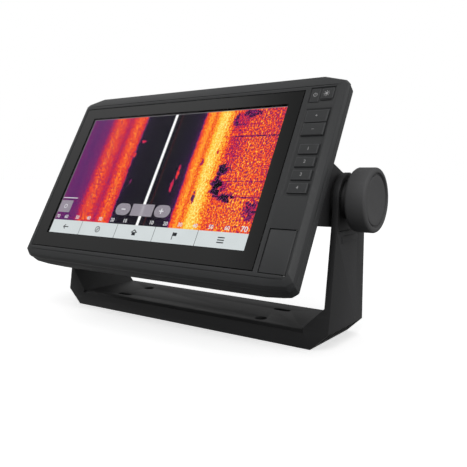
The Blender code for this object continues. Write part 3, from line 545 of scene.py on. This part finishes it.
cut(bezel, box_at("bay", (door_low.x - 0.35 * MM, -CLEAR, door_low.z - 0.55 * MM),
                  (door_high.x + 0.35 * MM, 3.6 * MM, door_high.z + 0.55 * MM)))
round_edges(bezel, 0.22 * MM, 2, 20.0)
holes = []
for node in key_nodes:
    low, high = face_box(node)
    holes.append(box_at("hole", (low.x - KEY_GAP, -CLEAR, low.z - KEY_GAP),
                        (high.x + KEY_GAP, 6.0 * MM, high.z + KEY_GAP)))
card_low, card_high = face_box("memory_card")
holes.append(box_at("hole", (card_low.x - 0.5 * MM, 3.0 * MM, card_low.z - 0.7 * MM),
                    (card_high.x + 0.5 * MM, 8.0 * MM, card_high.z + 0.7 * MM)))
cut(bezel, joined("holes", holes))
bpy.ops.object.shade_smooth_by_angle(angle=math.radians(38))
lean(bezel)
finish(bezel, HOUSING)
fix(bezel, "unit", "housing_plastic", "front_bezel")


# ------------------------------------------------------------------ card door
# A flat plastic door over the memory card, in the bezel's own satin finish. It is hinged on a
# steel pin along its right edge and closes on a rubber seal.
door = copy_of("card_door", "card_door_moulding")
round_edges(door, 0.22 * MM, 2, 30.0, False)
finish(door, HOUSING)
fix(door, "door", "housing_plastic", "card_door")
finish_nodes(STEEL, "card_door_pin")
finish_nodes(SEAL_RUBBER, "card_door_seal")


# ------------------------------------------------------------------ keys
# Silicone keys with sloped sides, moulded with the mat that springs them back, and their
# legends printed in white: power, light, plus, minus and four numbers.
KEY_RUBBER = moulded("key_rubber", screen_colour(58, 59, 60), screen_colour(92, 93, 95),
                     1700.0, 0.58, 0.00004, 0.3)
finish_nodes(KEY_RUBBER, "keypad_mat")


def legend_white(name, strength):
    """White print, faintly lit from behind and a little uneven."""
    material, tree, shader = start_material(name)
    place = add_node(tree, "ShaderNodeTexCoord").outputs["Object"]
    print_grain = add_node(tree, "ShaderNodeTexNoise", None,
                           {"Vector": place, "Scale": 3500.0, "Detail": 2.0}).outputs["Fac"]
    thin, full = screen_colour(150, 150, 150), screen_colour(184, 184, 184)
    white = ramp(tree, print_grain, ((0.3, thin), (0.6, full)))
    tree.links.new(white, shader.inputs["Base Color"])
    tree.links.new(white, shader.inputs["Emission Color"])
    shader.inputs["Emission Strength"].default_value = strength
    shader.inputs["Roughness"].default_value = 0.5
    return material


LEGEND = legend_white("legend_print", 0.06)
PRINT_THICK = 0.06 * MM


def written(name, words, size, across, depth, height, thickness=PRINT_THICK / 2):
    """Figures as a thin raised print, upright on the unit's face and centred on a place."""
    bpy.ops.object.select_all(action="DESELECT")
    bpy.ops.object.text_add()
    text = bpy.context.active_object
    text.data.body = words
    text.data.align_x = "CENTER"
    text.data.align_y = "CENTER"
    text.data.size = size
    text.data.extrude = thickness
    text.data.offset = 0.012 * size
    text.data.resolution_u = 4
    alone(text)
    bpy.ops.object.convert(target="MESH")
    text = bpy.context.active_object
    text.rotation_euler = (math.pi / 2, 0.0, 0.0)
    text.location = (across, depth, height)
    return started(name)


def disc(name, radius, across, depth, height, thickness, hole=0.0, sides=32):
    """A flat disc, or a ring where it has a hole, facing out of the unit."""
    bpy.ops.object.select_all(action="DESELECT")
    bpy.ops.mesh.primitive_cylinder_add(vertices=sides, radius=radius, depth=thickness,
                                        rotation=(math.pi / 2, 0.0, 0.0),
                                        location=(across, depth, height))
    made = started(name)
    if hole:
        bpy.ops.object.mode_set(mode="EDIT")
        choose(made, lambda middle, normal: abs(normal.y) > 0.9)
        bpy.ops.mesh.inset(thickness=radius - hole, depth=0.0, use_individual=True)
        bpy.ops.mesh.bridge_edge_loops()
        bpy.ops.object.mode_set(mode="OBJECT")
    return made


def bar(name, across, depth, height, width, tall, thickness, turn=0.0):
    """A thin flat bar on the face, turned about its own middle."""
    bpy.ops.object.select_all(action="DESELECT")
    bpy.ops.mesh.primitive_cube_add(size=1.0, location=(across, depth, height),
                                    rotation=(0.0, turn, 0.0), scale=(width, thickness, tall))
    return started(name)


def power_mark(across, depth, height, size):
    """A broken ring with a stroke in its gap."""
    ring = disc("ring", size, across, depth, height, PRINT_THICK, 0.74 * size)
    gap = box_at("gap", (across - 0.34 * size, depth - MM, height),
                 (across + 0.34 * size, depth + MM, height + 2 * size))
    cut(ring, gap)
    stroke = bar("stroke", across, depth, height + 0.62 * size, 0.26 * size, 0.95 * size, PRINT_THICK)
    return [ring, stroke]


def sun_mark(across, depth, height, size):
    """A disc with eight rays."""
    marks = [disc("sun", 0.46 * size, across, depth, height, PRINT_THICK)]
    for number in range(8):
        turn = math.pi * number / 4
        marks.append(bar("ray", across + 0.82 * size * math.sin(turn), depth,
                         height + 0.82 * size * math.cos(turn), 0.17 * size, 0.42 * size,
                         PRINT_THICK, turn))
    return marks


MARKS = {"key_zoom_in": "+", "key_zoom_out": "–", "key_1": "1", "key_2": "2", "key_3": "3",
         "key_4": "4"}
FLUSH_KEYS = ("key_power", "key_light")
CROWN_RISE = 0.35 * MM       # the steps below give this height back
for node in key_nodes:
    low, high = face_box(node)
    if node in FLUSH_KEYS:
        low.y = 0.15 * MM
    key = box_at(f"{node}_cap", (low.x, low.y + CROWN_RISE, low.z), high)
    bpy.ops.object.mode_set(mode="EDIT")
    choose(key, lambda middle, normal: normal.y < -0.9)
    step_in(((0.12, 0.06), (0.62, 0.26), (0.3, 0.03)))
    bpy.ops.object.mode_set(mode="OBJECT")
    round_edges(key, 0.16 * MM, 2, 14.0)
    lean(key)
    finish(key, KEY_RUBBER)
    fix(key, f"{node}_cap", "key_rubber", node)
    middle = (low + high) / 2
    surface = low.y - 0.005 * MM
    name = f"{node}_legend"
    if node == "key_power":
        mark = joined(name, power_mark(middle.x, surface, middle.z + 0.4 * MM, 1.5 * MM))
    elif node == "key_light":
        mark = joined(name, sun_mark(middle.x - 0.6 * MM, surface, middle.z - 0.2 * MM, 2.2 * MM))
    else:
        mark = written(name, MARKS[node], 3.2 * MM, middle.x, surface, middle.z)
    lean(mark)
    finish(mark, LEGEND)
    fix(mark, f"{node}_cap", "key_rubber")


# ------------------------------------------------------------------ display
# The colour liquid crystal panel behind the glass, showing a side-scan sonar picture: the boat's
# track down the middle, dark water beside it, then the bottom's echoes out to both sides.
TRACK = -12.3 * MM           # places on the screen are measured from the middle of the face
SCREEN_LEFT = -108.9 * MM
SCREEN_RIGHT = 88.8 * MM
SCREEN_BOTTOM = -53.0 * MM
SCREEN_TOP = 56.5 * MM
MENU_TOP = -41.2 * MM


def echo_picture():
    """Echo strength across the screen, broken up by noise, read as a heat scale."""
    material, tree, shader = start_material("echo_picture")
    place = add_node(tree, "ShaderNodeTexCoord").outputs["Object"]
    upright = LEANED.inverted()
    turned = add_node(tree, "ShaderNodeMapping", None,
                      {"Vector": place, "Rotation": upright.to_euler(), "Location": upright.translation})
    parts = add_node(tree, "ShaderNodeSeparateXYZ", None, {0: turned.outputs[0]}).outputs
    across, height = parts[0], parts[2]
    flat = add_node(tree, "ShaderNodeCombineXYZ", None, {0: across, 1: height}).outputs[0]

    def noise(scale, stretch=(1.0, 1.0, 1.0), detail=2.0, rough=0.5):
        spot = add_node(tree, "ShaderNodeMapping", None, {"Vector": flat, "Scale": stretch}).outputs[0]
        feeds = {"Vector": spot, "Scale": scale, "Detail": detail, "Roughness": rough}
        return add_node(tree, "ShaderNodeTexNoise", {"noise_dimensions": "2D"}, feeds).outputs["Fac"]

    wander = sum_of(tree, "MULTIPLY_ADD", noise(34.0, (0.05, 1.0, 1.0)), 2.4 * MM, -1.2 * MM)
    ragged = sum_of(tree, "MULTIPLY_ADD", noise(420.0), 2.4 * MM, -1.2 * MM)
    moved = sum_of(tree, "ADD", sum_of(tree, "ADD", across, wander), ragged)
    share = add_node(tree, "ShaderNodeMapRange", None,
                     {0: moved, 1: SCREEN_LEFT, 2: SCREEN_RIGHT}).outputs[0]

    def at(millimetres):
        """How far across the screen a place lies, from 0 to 1."""
        return (millimetres * MM - SCREEN_LEFT) / (SCREEN_RIGHT - SCREEN_LEFT)

    echo = ramp(tree, share, (
        (at(-108.9), 0.27), (at(-98.0), 0.23), (at(-86.0), 0.28), (at(-80.0), 0.48), (at(-74.5), 0.58),
        (at(-67.0), 0.50), (at(-61.5), 0.39), (at(-57.0), 0.52), (at(-52.5), 0.63), (at(-47.0), 0.56),
        (at(-43.6), 0.46), (at(-42.6), 0.12), (at(-36.0), 0.05), (at(-6.0), 0.02), (at(10.0), 0.07),
        (at(17.2), 0.14), (at(18.6), 0.54), (at(22.0), 0.70), (at(24.8), 0.78), (at(28.2), 0.62),
        (at(31.0), 0.78), (at(34.5), 0.93), (at(39.5), 0.90), (at(44.0), 0.74), (at(49.5), 0.57),
        (at(57.0), 0.55), (at(72.0), 0.58), (at(88.8), 0.52)))
    busy = ramp(tree, share, (
        (at(-108.9), 0.12), (at(-86.0), 0.20), (at(-75.0), 0.85), (at(-61.0), 0.30), (at(-52.0), 0.75),
        (at(-44.0), 0.36), (at(-42.0), 0.10), (at(17.0), 0.14), (at(20.0), 0.44), (at(34.0), 0.34),
        (at(44.0), 0.62), (at(55.0), 0.80), (at(66.0), 1.0), (at(88.8), 0.95)))
    grain = sum_of(tree, "SUBTRACT", noise(760.0, (1.0, 0.8, 1.0), 2.0, 0.7), 0.5)
    streaks = sum_of(tree, "SUBTRACT", noise(800.0, (1.5, 0.16, 1.0), 2.0), 0.5)
    broken = sum_of(tree, "ADD", sum_of(tree, "MULTIPLY", grain, 1.5), sum_of(tree, "MULTIPLY", streaks, 0.5))
    value = sum_of(tree, "MULTIPLY_ADD", broken, busy, echo)

    up = add_node(tree, "ShaderNodeMapRange", None, {0: height, 1: SCREEN_BOTTOM, 2: SCREEN_TOP}).outputs[0]
    beyond = add_node(tree, "ShaderNodeMapRange", None,
                      {0: across, 1: 38.0 * MM, 2: 56.0 * MM}).outputs[0]
    nearer = sum_of(tree, "MULTIPLY", sum_of(tree, "MULTIPLY_ADD", up, -0.14, 0.08), beyond)
    value = sum_of(tree, "ADD", value, nearer)

    def patch(x, z, wide, tall, loss):
        """A shadow, or a stray echo where the loss is negative, with a ragged outline."""
        aside = sum_of(tree, "DIVIDE", sum_of(tree, "SUBTRACT", across, x * MM), wide * MM)
        above = sum_of(tree, "DIVIDE", sum_of(tree, "SUBTRACT", height, z * MM), tall * MM)
        off = add_node(tree, "ShaderNodeCombineXYZ", None, {0: aside, 1: above}).outputs[0]
        far = add_node(tree, "ShaderNodeVectorMath", {"operation": "LENGTH"}, {0: off}).outputs["Value"]
        edge = sum_of(tree, "MULTIPLY_ADD", torn, 2.4, sum_of(tree, "SUBTRACT", far, 1.2))
        inside = {0: edge, 1: 1.15, 2: 0.75, 3: 0.0, 4: loss}
        return add_node(tree, "ShaderNodeMapRange", None, inside).outputs[0]

    torn = noise(240.0, (1.0, 1.0, 1.0), 3.0, 0.6)
    # Each patch: its place across and up the face and its half sizes, all in mm, and its loss
    for spot in ((50.7, 5.7, 4.4, 4.6, 0.50), (48.0, -4.0, 5.4, 4.0, 0.52), (49.6, -11.4, 4.2, 3.6, 0.56),
                 (59.5, -15.9, 6.5, 3.4, 0.50), (55.0, -6.5, 5.5, 4.0, 0.22), (32.1, -16.8, 1.6, 5.0, 0.62),
                 (48.2, 45.8, 2.6, 5.5, 0.34), (62.0, 53.0, 6.0, 3.6, 0.30), (29.6, 12.6, 1.3, 2.6, 0.34),
                 (40.4, 20.1, 1.3, 2.2, 0.44), (83.5, -25.0, 5.5, 7.5, 0.34), (54.0, 24.0, 6.0, 14.0, 0.10),
                 (54.5, 48.0, 5.0, 8.0, 0.12)):
        value = sum_of(tree, "SUBTRACT", value, patch(*spot))
    for blip in ((9.8, 4.0, 1.5, 5.0, -0.50), (8.0, -8.0, 1.2, 5.5, -0.40), (-38.6, 32.4, 2.6, 1.3, -0.38),
                 (-42.7, 20.4, 1.2, 2.2, -0.40), (-36.4, -4.1, 0.8, 2.4, -0.30)):
        value = sum_of(tree, "SUBTRACT", value, patch(*blip))

    def risen(millimetres):
        """How far up the screen a height lies, from 0 to 1."""
        return (millimetres * MM - SCREEN_BOTTOM) / (SCREEN_TOP - SCREEN_BOTTOM)

    hair = 0.0055
    stops = [(0.0, 0.0)]
    for line, dark in ((-37.0, 0.20), (-15.0, 0.40), (-3.0, 0.30), (33.4, 0.46)):
        stops += [(risen(line) - hair, 0.0), (risen(line), dark), (risen(line) + hair, 0.0)]
    lines = ramp(tree, up, stops)
    value = sum_of(tree, "SUBTRACT", value, sum_of(tree, "MULTIPLY", lines, beyond), clamp=True)

    heat = ramp(tree, value, (
        (0.00, screen_colour(7, 7, 11)), (0.10, screen_colour(24, 14, 38)),
        (0.24, screen_colour(92, 32, 104)), (0.36, screen_colour(150, 22, 92)),
        (0.46, screen_colour(204, 28, 62)), (0.56, screen_colour(234, 52, 36)),
        (0.68, screen_colour(250, 104, 28)), (0.80, screen_colour(252, 168, 42)),
        (0.92, screen_colour(254, 214, 74)), (1.00, screen_colour(255, 240, 150))))

    def stripe(middle, half):
        """1 within half a width of a line up the screen, and 0 elsewhere."""
        off = sum_of(tree, "ABSOLUTE", sum_of(tree, "SUBTRACT", across, middle))
        return sum_of(tree, "LESS_THAN", off, half)

    coloured = blend_colours(tree, stripe(TRACK + 6.4 * MM, 0.35 * MM), heat, screen_colour(74, 28, 34))
    coloured = blend_colours(tree, stripe(TRACK, 1.35 * MM), coloured, screen_colour(250, 250, 250))
    middle = (SCREEN_LEFT + SCREEN_RIGHT) / 2
    inside = stripe(middle, (SCREEN_RIGHT - SCREEN_LEFT) / 2 - 0.35 * MM)
    over = sum_of(tree, "LESS_THAN", height, SCREEN_TOP - 0.35 * MM)
    framed = sum_of(tree, "MULTIPLY", inside, over)
    coloured = blend_colours(tree, framed, screen_colour(128, 126, 130), coloured)
    tree.links.new(coloured, shader.inputs["Emission Color"])
    shader.inputs["Base Color"].default_value = (0.01, 0.01, 0.01, 1.0)
    shader.inputs["Emission Strength"].default_value = 1.0
    shader.inputs["Specular IOR Level"].default_value = 0.0
    return material


finish_nodes(echo_picture(), "display_panel")
DISPLAY_FRONT = panel_low.y


# ------------------------------------------------------------------ screen marks
# What the display draws over the sonar picture: a pale menu bar of five buttons, a grey control
# with minus, middle and plus, a small square button, and the range scale's figures.
def lit(name, colour, strength, alpha=1.0, drift=0.08):
    """A lit area of the display, with the panel's faint unevenness in it."""
    material, tree, shader = start_material(name)
    place = add_node(tree, "ShaderNodeTexCoord").outputs["Object"]
    cloud = add_node(tree, "ShaderNodeTexNoise", None,
                     {"Vector": place, "Scale": 70.0, "Detail": 1.0}).outputs["Fac"]
    dimmer = tuple((1 - drift) * part for part in colour[:3]) + (1.0,)
    shown = blend_colours(tree, cloud, dimmer, colour)
    tree.links.new(shown, shader.inputs["Emission Color"])
    shader.inputs["Base Color"].default_value = (0.01, 0.01, 0.01, 1.0)
    shader.inputs["Emission Strength"].default_value = strength
    shader.inputs["Alpha"].default_value = alpha
    shader.inputs["Specular IOR Level"].default_value = 0.0
    return material


PALE = lit("menu_pale", screen_colour(214, 221, 222), 1.0)
INK = lit("menu_ink", screen_colour(40, 42, 46), 1.0)
GREY_VEIL = lit("control_grey", screen_colour(158, 152, 162), 1.0, 0.66)
FIGURES = lit("scale_figures", screen_colour(226, 226, 230), 1.0)
MARK_THICK = 0.05 * MM
ON_SCREEN = DISPLAY_FRONT - 0.07 * MM
ON_MARK = ON_SCREEN - 0.06 * MM


def on_screen(piece, material):
    lean(piece)
    finish(piece, material)
    fix(piece, "unit", "display")


def tablet(name, left, right, bottom, top, corner):
    """A flat lit area with rounded corners."""
    made = box_at(name, (left, ON_SCREEN - MARK_THICK / 2, bottom), (right, ON_SCREEN + MARK_THICK / 2, top))
    bpy.ops.object.mode_set(mode="EDIT")
    bpy.ops.mesh.select_mode(type="EDGE")
    bpy.ops.mesh.select_all(action="DESELECT")
    cage = bmesh.from_edit_mesh(made.data)
    for edge in cage.edges:
        run = edge.verts[1].co - edge.verts[0].co
        edge.select_set(abs(run.y) > abs(run.x) + abs(run.z))
    bmesh.update_edit_mesh(made.data)
    bpy.ops.mesh.bevel(offset=corner, segments=5)
    bpy.ops.object.mode_set(mode="OBJECT")
    return made


dividers = [-72.6 * MM, -32.0 * MM, 7.2 * MM, 47.0 * MM]
edges = [SCREEN_LEFT, *dividers, SCREEN_RIGHT]
strip_low = (SCREEN_LEFT + 0.3 * MM, DISPLAY_FRONT - 0.04 * MM, SCREEN_BOTTOM + 0.1 * MM)
strip_high = (SCREEN_RIGHT - 0.3 * MM, DISPLAY_FRONT - 0.02 * MM, MENU_TOP - 0.05 * MM)
on_screen(box_at("menu_dividers", strip_low, strip_high), INK)
for number, (left, right) in enumerate(zip(edges, edges[1:])):
    button = tablet(f"menu_button_{number + 1}", left + 0.22 * MM, right - 0.22 * MM,
                    SCREEN_BOTTOM + 0.1 * MM, MENU_TOP, 0.3 * MM)
    on_screen(button, PALE)

MENU_MIDDLE = (SCREEN_BOTTOM + MENU_TOP) / 2
centres = [(left + right) / 2 for left, right in zip(edges, edges[1:])]


def arrow_mark(x):
    marks = [bar("shaft", x + 0.6 * MM, ON_MARK, MENU_MIDDLE, 5.4 * MM, 0.8 * MM, MARK_THICK)]
    for way in (1, -1):
        marks.append(bar("barb", x - 1.6 * MM, ON_MARK, MENU_MIDDLE + way * 0.85 * MM,
                         0.8 * MM, 3.0 * MM, MARK_THICK, way * 0.8))
    return marks


def compass_mark(x):
    marks = [disc("rose", 2.6 * MM, x, ON_MARK, MENU_MIDDLE, MARK_THICK, 2.0 * MM)]
    marks.append(bar("needle", x, ON_MARK, MENU_MIDDLE, 0.9 * MM, 2.8 * MM, MARK_THICK, 0.6))
    return marks


def house_mark(x):
    marks = [bar("room", x, ON_MARK, MENU_MIDDLE - 1.0 * MM, 3.6 * MM, 2.6 * MM, MARK_THICK)]
    for way in (-1, 1):
        marks.append(bar("roof", x + way * 1.25 * MM, ON_MARK, MENU_MIDDLE + 1.15 * MM,
                         0.8 * MM, 4.0 * MM, MARK_THICK, way * -0.9))
    return marks


def flag_mark(x):
    return [bar("pole", x - 1.6 * MM, ON_MARK, MENU_MIDDLE, 0.6 * MM, 5.6 * MM, MARK_THICK),
            bar("flag", x + 0.3 * MM, ON_MARK, MENU_MIDDLE + 1.3 * MM, 3.4 * MM, 2.6 * MM, MARK_THICK)]


def list_mark(x):
    return [bar("line", x, ON_MARK, MENU_MIDDLE + rise * MM, 5.6 * MM, 0.8 * MM, MARK_THICK)
            for rise in (-1.8, 0.0, 1.8)]


makers = {"back": arrow_mark, "compass": compass_mark, "home": house_mark,
          "flag": flag_mark, "list": list_mark}
for centre, (name, maker) in zip(centres, makers.items()):
    on_screen(joined(f"menu_mark_{name}", maker(centre)), INK)

CONTROL_BOTTOM = -33.6 * MM
CONTROL_TOP = -23.6 * MM
for name, left, right, corner in (("minus", -40.5, -25.0, 4.9), ("middle", -23.6, -1.2, 0.5),
                                  ("plus", 0.2, 15.6, 4.9)):
    on_screen(tablet(f"control_{name}", left * MM, right * MM, CONTROL_BOTTOM, CONTROL_TOP, corner * MM),
              GREY_VEIL)
on_screen(tablet("corner_button", -108.4 * MM, -94.0 * MM, -34.2 * MM, -23.2 * MM, 0.6 * MM), GREY_VEIL)
signs = [
    bar("minus", -32.2 * MM, ON_MARK, -28.6 * MM, 4.2 * MM, 0.8 * MM, MARK_THICK),
    bar("plus", 7.0 * MM, ON_MARK, -28.6 * MM, 4.2 * MM, 0.8 * MM, MARK_THICK),
    bar("plus", 7.0 * MM, ON_MARK, -28.6 * MM, 0.8 * MM, 4.2 * MM, MARK_THICK),
    disc("aim", 1.9 * MM, -101.0 * MM, ON_MARK, -28.7 * MM, MARK_THICK, 1.4 * MM),
    bar("caption", -99.0 * MM, ON_MARK, -20.9 * MM, 18.0 * MM, 0.7 * MM, MARK_THICK),
]
on_screen(joined("control_signs", signs), FIGURES)

SCALE_STEP = 13.75 * MM
figures = []
for tens in range(1, 8):
    for way in (-1, 1):
        across = max(TRACK + way * tens * SCALE_STEP, SCREEN_LEFT + 3.6 * MM)
        size = 5.6 * MM if (tens, way) == (7, 1) else 4.3 * MM
        figures.append(written("figure", str(10 * tens), size, across, ON_MARK, -38.3 * MM, MARK_THICK / 2))
on_screen(joined("scale_figures", figures), FIGURES)


# ------------------------------------------------------------------ glass
# One sheet of coated glass bonded over the display. A black border is printed on its back up to
# the picture, and a glossy black enamel is fired on its front a little way outside that.
def border_print(roughness, gloss):
    """Black enamel, a little uneven where it was screened on."""
    material, tree, shader = start_material("border_print")
    place = add_node(tree, "ShaderNodeTexCoord").outputs["Object"]
    mottle = add_node(tree, "ShaderNodeTexNoise", None,
                      {"Vector": place, "Scale": 25.0, "Detail": 1.0}).outputs["Fac"]
    black = ramp(tree, mottle, ((0.3, screen_colour(14, 15, 15)), (0.7, screen_colour(18, 19, 19))))
    tree.links.new(black, shader.inputs["Base Color"])
    shader.inputs["Roughness"].default_value = roughness
    shader.inputs["Specular IOR Level"].default_value = gloss
    return material


def clear_glass():
    """Clear glass with a coating that keeps reflections low, smeared a little by hands."""
    material, tree, shader = start_material("cover_glass")
    place = add_node(tree, "ShaderNodeTexCoord").outputs["Object"]
    smear = add_node(tree, "ShaderNodeTexNoise", None,
                     {"Vector": place, "Scale": 26.0, "Detail": 4.0, "Distortion": 0.6}).outputs["Fac"]
    rough = ramp(tree, smear, ((0.45, 0.05), (0.75, 0.09)))
    tree.links.new(rough, shader.inputs["Roughness"])
    shader.inputs["Base Color"].default_value = (1.0, 1.0, 1.0, 1.0)
    shader.inputs["Transmission Weight"].default_value = 1.0
    shader.inputs["IOR"].default_value = 1.09
    return material


MARGIN = 0.9 * MM
for name, front, back, margin, roughness, gloss in (
        ("glass_back_print", 1.60 * MM, 1.70 * MM, 0.0, 0.9, 0.0),
        ("glass_front_enamel", glass_low.y - 0.09 * MM, glass_low.y - 0.02 * MM, MARGIN, 0.14, 0.42)):
    border = box_at(name, (glass_low.x + 0.4 * MM, front, glass_low.z + 0.4 * MM),
                    (glass_high.x - 0.4 * MM, back, glass_high.z - 0.4 * MM))
    cut(border, box_at("opening", (SCREEN_LEFT - margin, front - MM, SCREEN_BOTTOM - margin),
                       (SCREEN_RIGHT + margin, back + MM, SCREEN_TOP + margin)))
    lean(border)
    finish(border, border_print(roughness, gloss))
    fix(border, "unit", "cover_glass")

sheet = box_at("glass_sheet", glass_low, glass_high)
round_edges(sheet, 0.35 * MM, 3, 30.0)
lean(sheet)
finish(sheet, clear_glass())
fix(sheet, "unit", "cover_glass", "cover_glass")


# ------------------------------------------------------------------ floor, light and camera
# A pale sweep under the object, a white room, a large soft key light in front and above, a
# fill from the left that shows in the glass, and the camera at a boat owner's height.
def pale_floor():
    """White paper, lit from below as well, so that only the shadow at the object is grey."""
    material, tree, shader = start_material("pale_floor")
    place = add_node(tree, "ShaderNodeTexCoord").outputs["Object"]
    paper = add_node(tree, "ShaderNodeTexNoise", None,
                     {"Vector": place, "Scale": 400.0, "Detail": 2.0}).outputs["Fac"]
    white = ramp(tree, paper, ((0.3, 0.88), (0.7, 0.92)))
    tree.links.new(white, shader.inputs["Base Color"])
    tree.links.new(white, shader.inputs["Emission Color"])
    shader.inputs["Emission Strength"].default_value = 0.68
    shader.inputs["Roughness"].default_value = 0.9
    return material


bpy.ops.object.select_all(action="DESELECT")
bpy.ops.mesh.primitive_plane_add(size=12.0, location=(0.0, 0.0, -0.0002))
floor = started("floor")
floor.visible_diffuse = False
floor.visible_glossy = False
finish(floor, pale_floor())

# Each glow: where in the room it is, how tight it is, and its strength
GLOWS = (((0.0, 0.0, 1.0), 8.0, 0.26), ((0.0, -1.0, 0.4), 7.0, 0.10), ((1.0, 0.0, 0.2), 5.0, 0.40),
         ((0.0, 1.0, 0.2), 4.0, 0.34), ((0.0, 0.0, -1.0), 2.0, 0.02), ((-0.6, 0.1, 0.8), 14.0, 0.24),
         ((0.8, -0.35, 0.4), 12.0, 0.80), ((-0.6, -0.8, 0.0), 10.0, 0.20))
LEFT_WALL = 0.72
room = bpy.data.worlds.new("white_room")
bpy.context.scene.world = room
room.use_nodes = True
tree = room.node_tree
direction = add_node(tree, "ShaderNodeTexCoord").outputs["Generated"]
sides = add_node(tree, "ShaderNodeSeparateXYZ", None, {0: direction}).outputs
wall = add_node(tree, "ShaderNodeMapRange", {"interpolation_type": "SMOOTHSTEP"},
                {0: sides[0], 1: -0.47, 2: -0.60, 3: 0.0, 4: 1.0}).outputs[0]
high = add_node(tree, "ShaderNodeMapRange", None, {0: sides[2], 1: 0.35, 2: 0.75, 3: 0.35, 4: 1.0}).outputs[0]
wall = sum_of(tree, "MULTIPLY", wall, high)
total = sum_of(tree, "MULTIPLY", wall, LEFT_WALL)
for towards, tightness, strength in GLOWS:
    aim = tuple(Vector(towards).normalized())
    facing = add_node(tree, "ShaderNodeVectorMath", {"operation": "DOT_PRODUCT"}, {0: direction, 1: aim})
    near = sum_of(tree, "MULTIPLY_ADD", facing.outputs["Value"], 0.5, 0.5, clamp=True)
    lobe = sum_of(tree, "POWER", near, tightness)
    total = sum_of(tree, "ADD", total, sum_of(tree, "MULTIPLY", lobe, strength))
seen = add_node(tree, "ShaderNodeLightPath").outputs["Is Camera Ray"]
shown = blend_colours(tree, seen, total, (1.0, 1.0, 1.0, 1.0))
tree.links.new(shown, tree.nodes["Background"].inputs["Color"])


def soft_light(name, place, aim, width, depth, power):
    """An area lamp aimed at a point, its sizes in metres and its power in watts."""
    lamp = bpy.data.lights.new(name, "AREA")
    lamp.shape = "RECTANGLE"
    lamp.size = width
    lamp.size_y = depth
    lamp.energy = power
    holder = bpy.data.objects.new(name, lamp)
    bpy.context.scene.collection.objects.link(holder)
    holder.location = place
    holder.rotation_mode = "QUATERNION"
    holder.rotation_quaternion = (Vector(aim) - Vector(place)).to_track_quat("-Z", "Y")


soft_light("key", (0.35, -0.85, 0.95), (0.0, 0.0, 0.08), 0.55, 0.45, 3.2)

CAMERA_PLACE = Vector((0.29206, -0.36399, 0.12050))
CAMERA_AIM = Vector((0.033, 0.0, 0.071))
camera = bpy.data.objects.new("camera", bpy.data.cameras.new("camera"))
bpy.context.scene.collection.objects.link(camera)
camera.location = CAMERA_PLACE
camera.rotation_mode = "QUATERNION"
camera.rotation_quaternion = (CAMERA_AIM - CAMERA_PLACE).to_track_quat("-Z", "Y")
camera.data.sensor_width = 36.0
camera.data.lens = 43.92
camera.data.clip_start = 0.01
bpy.context.scene.camera = camera
bpy.context.scene.view_settings.view_transform = "Standard"
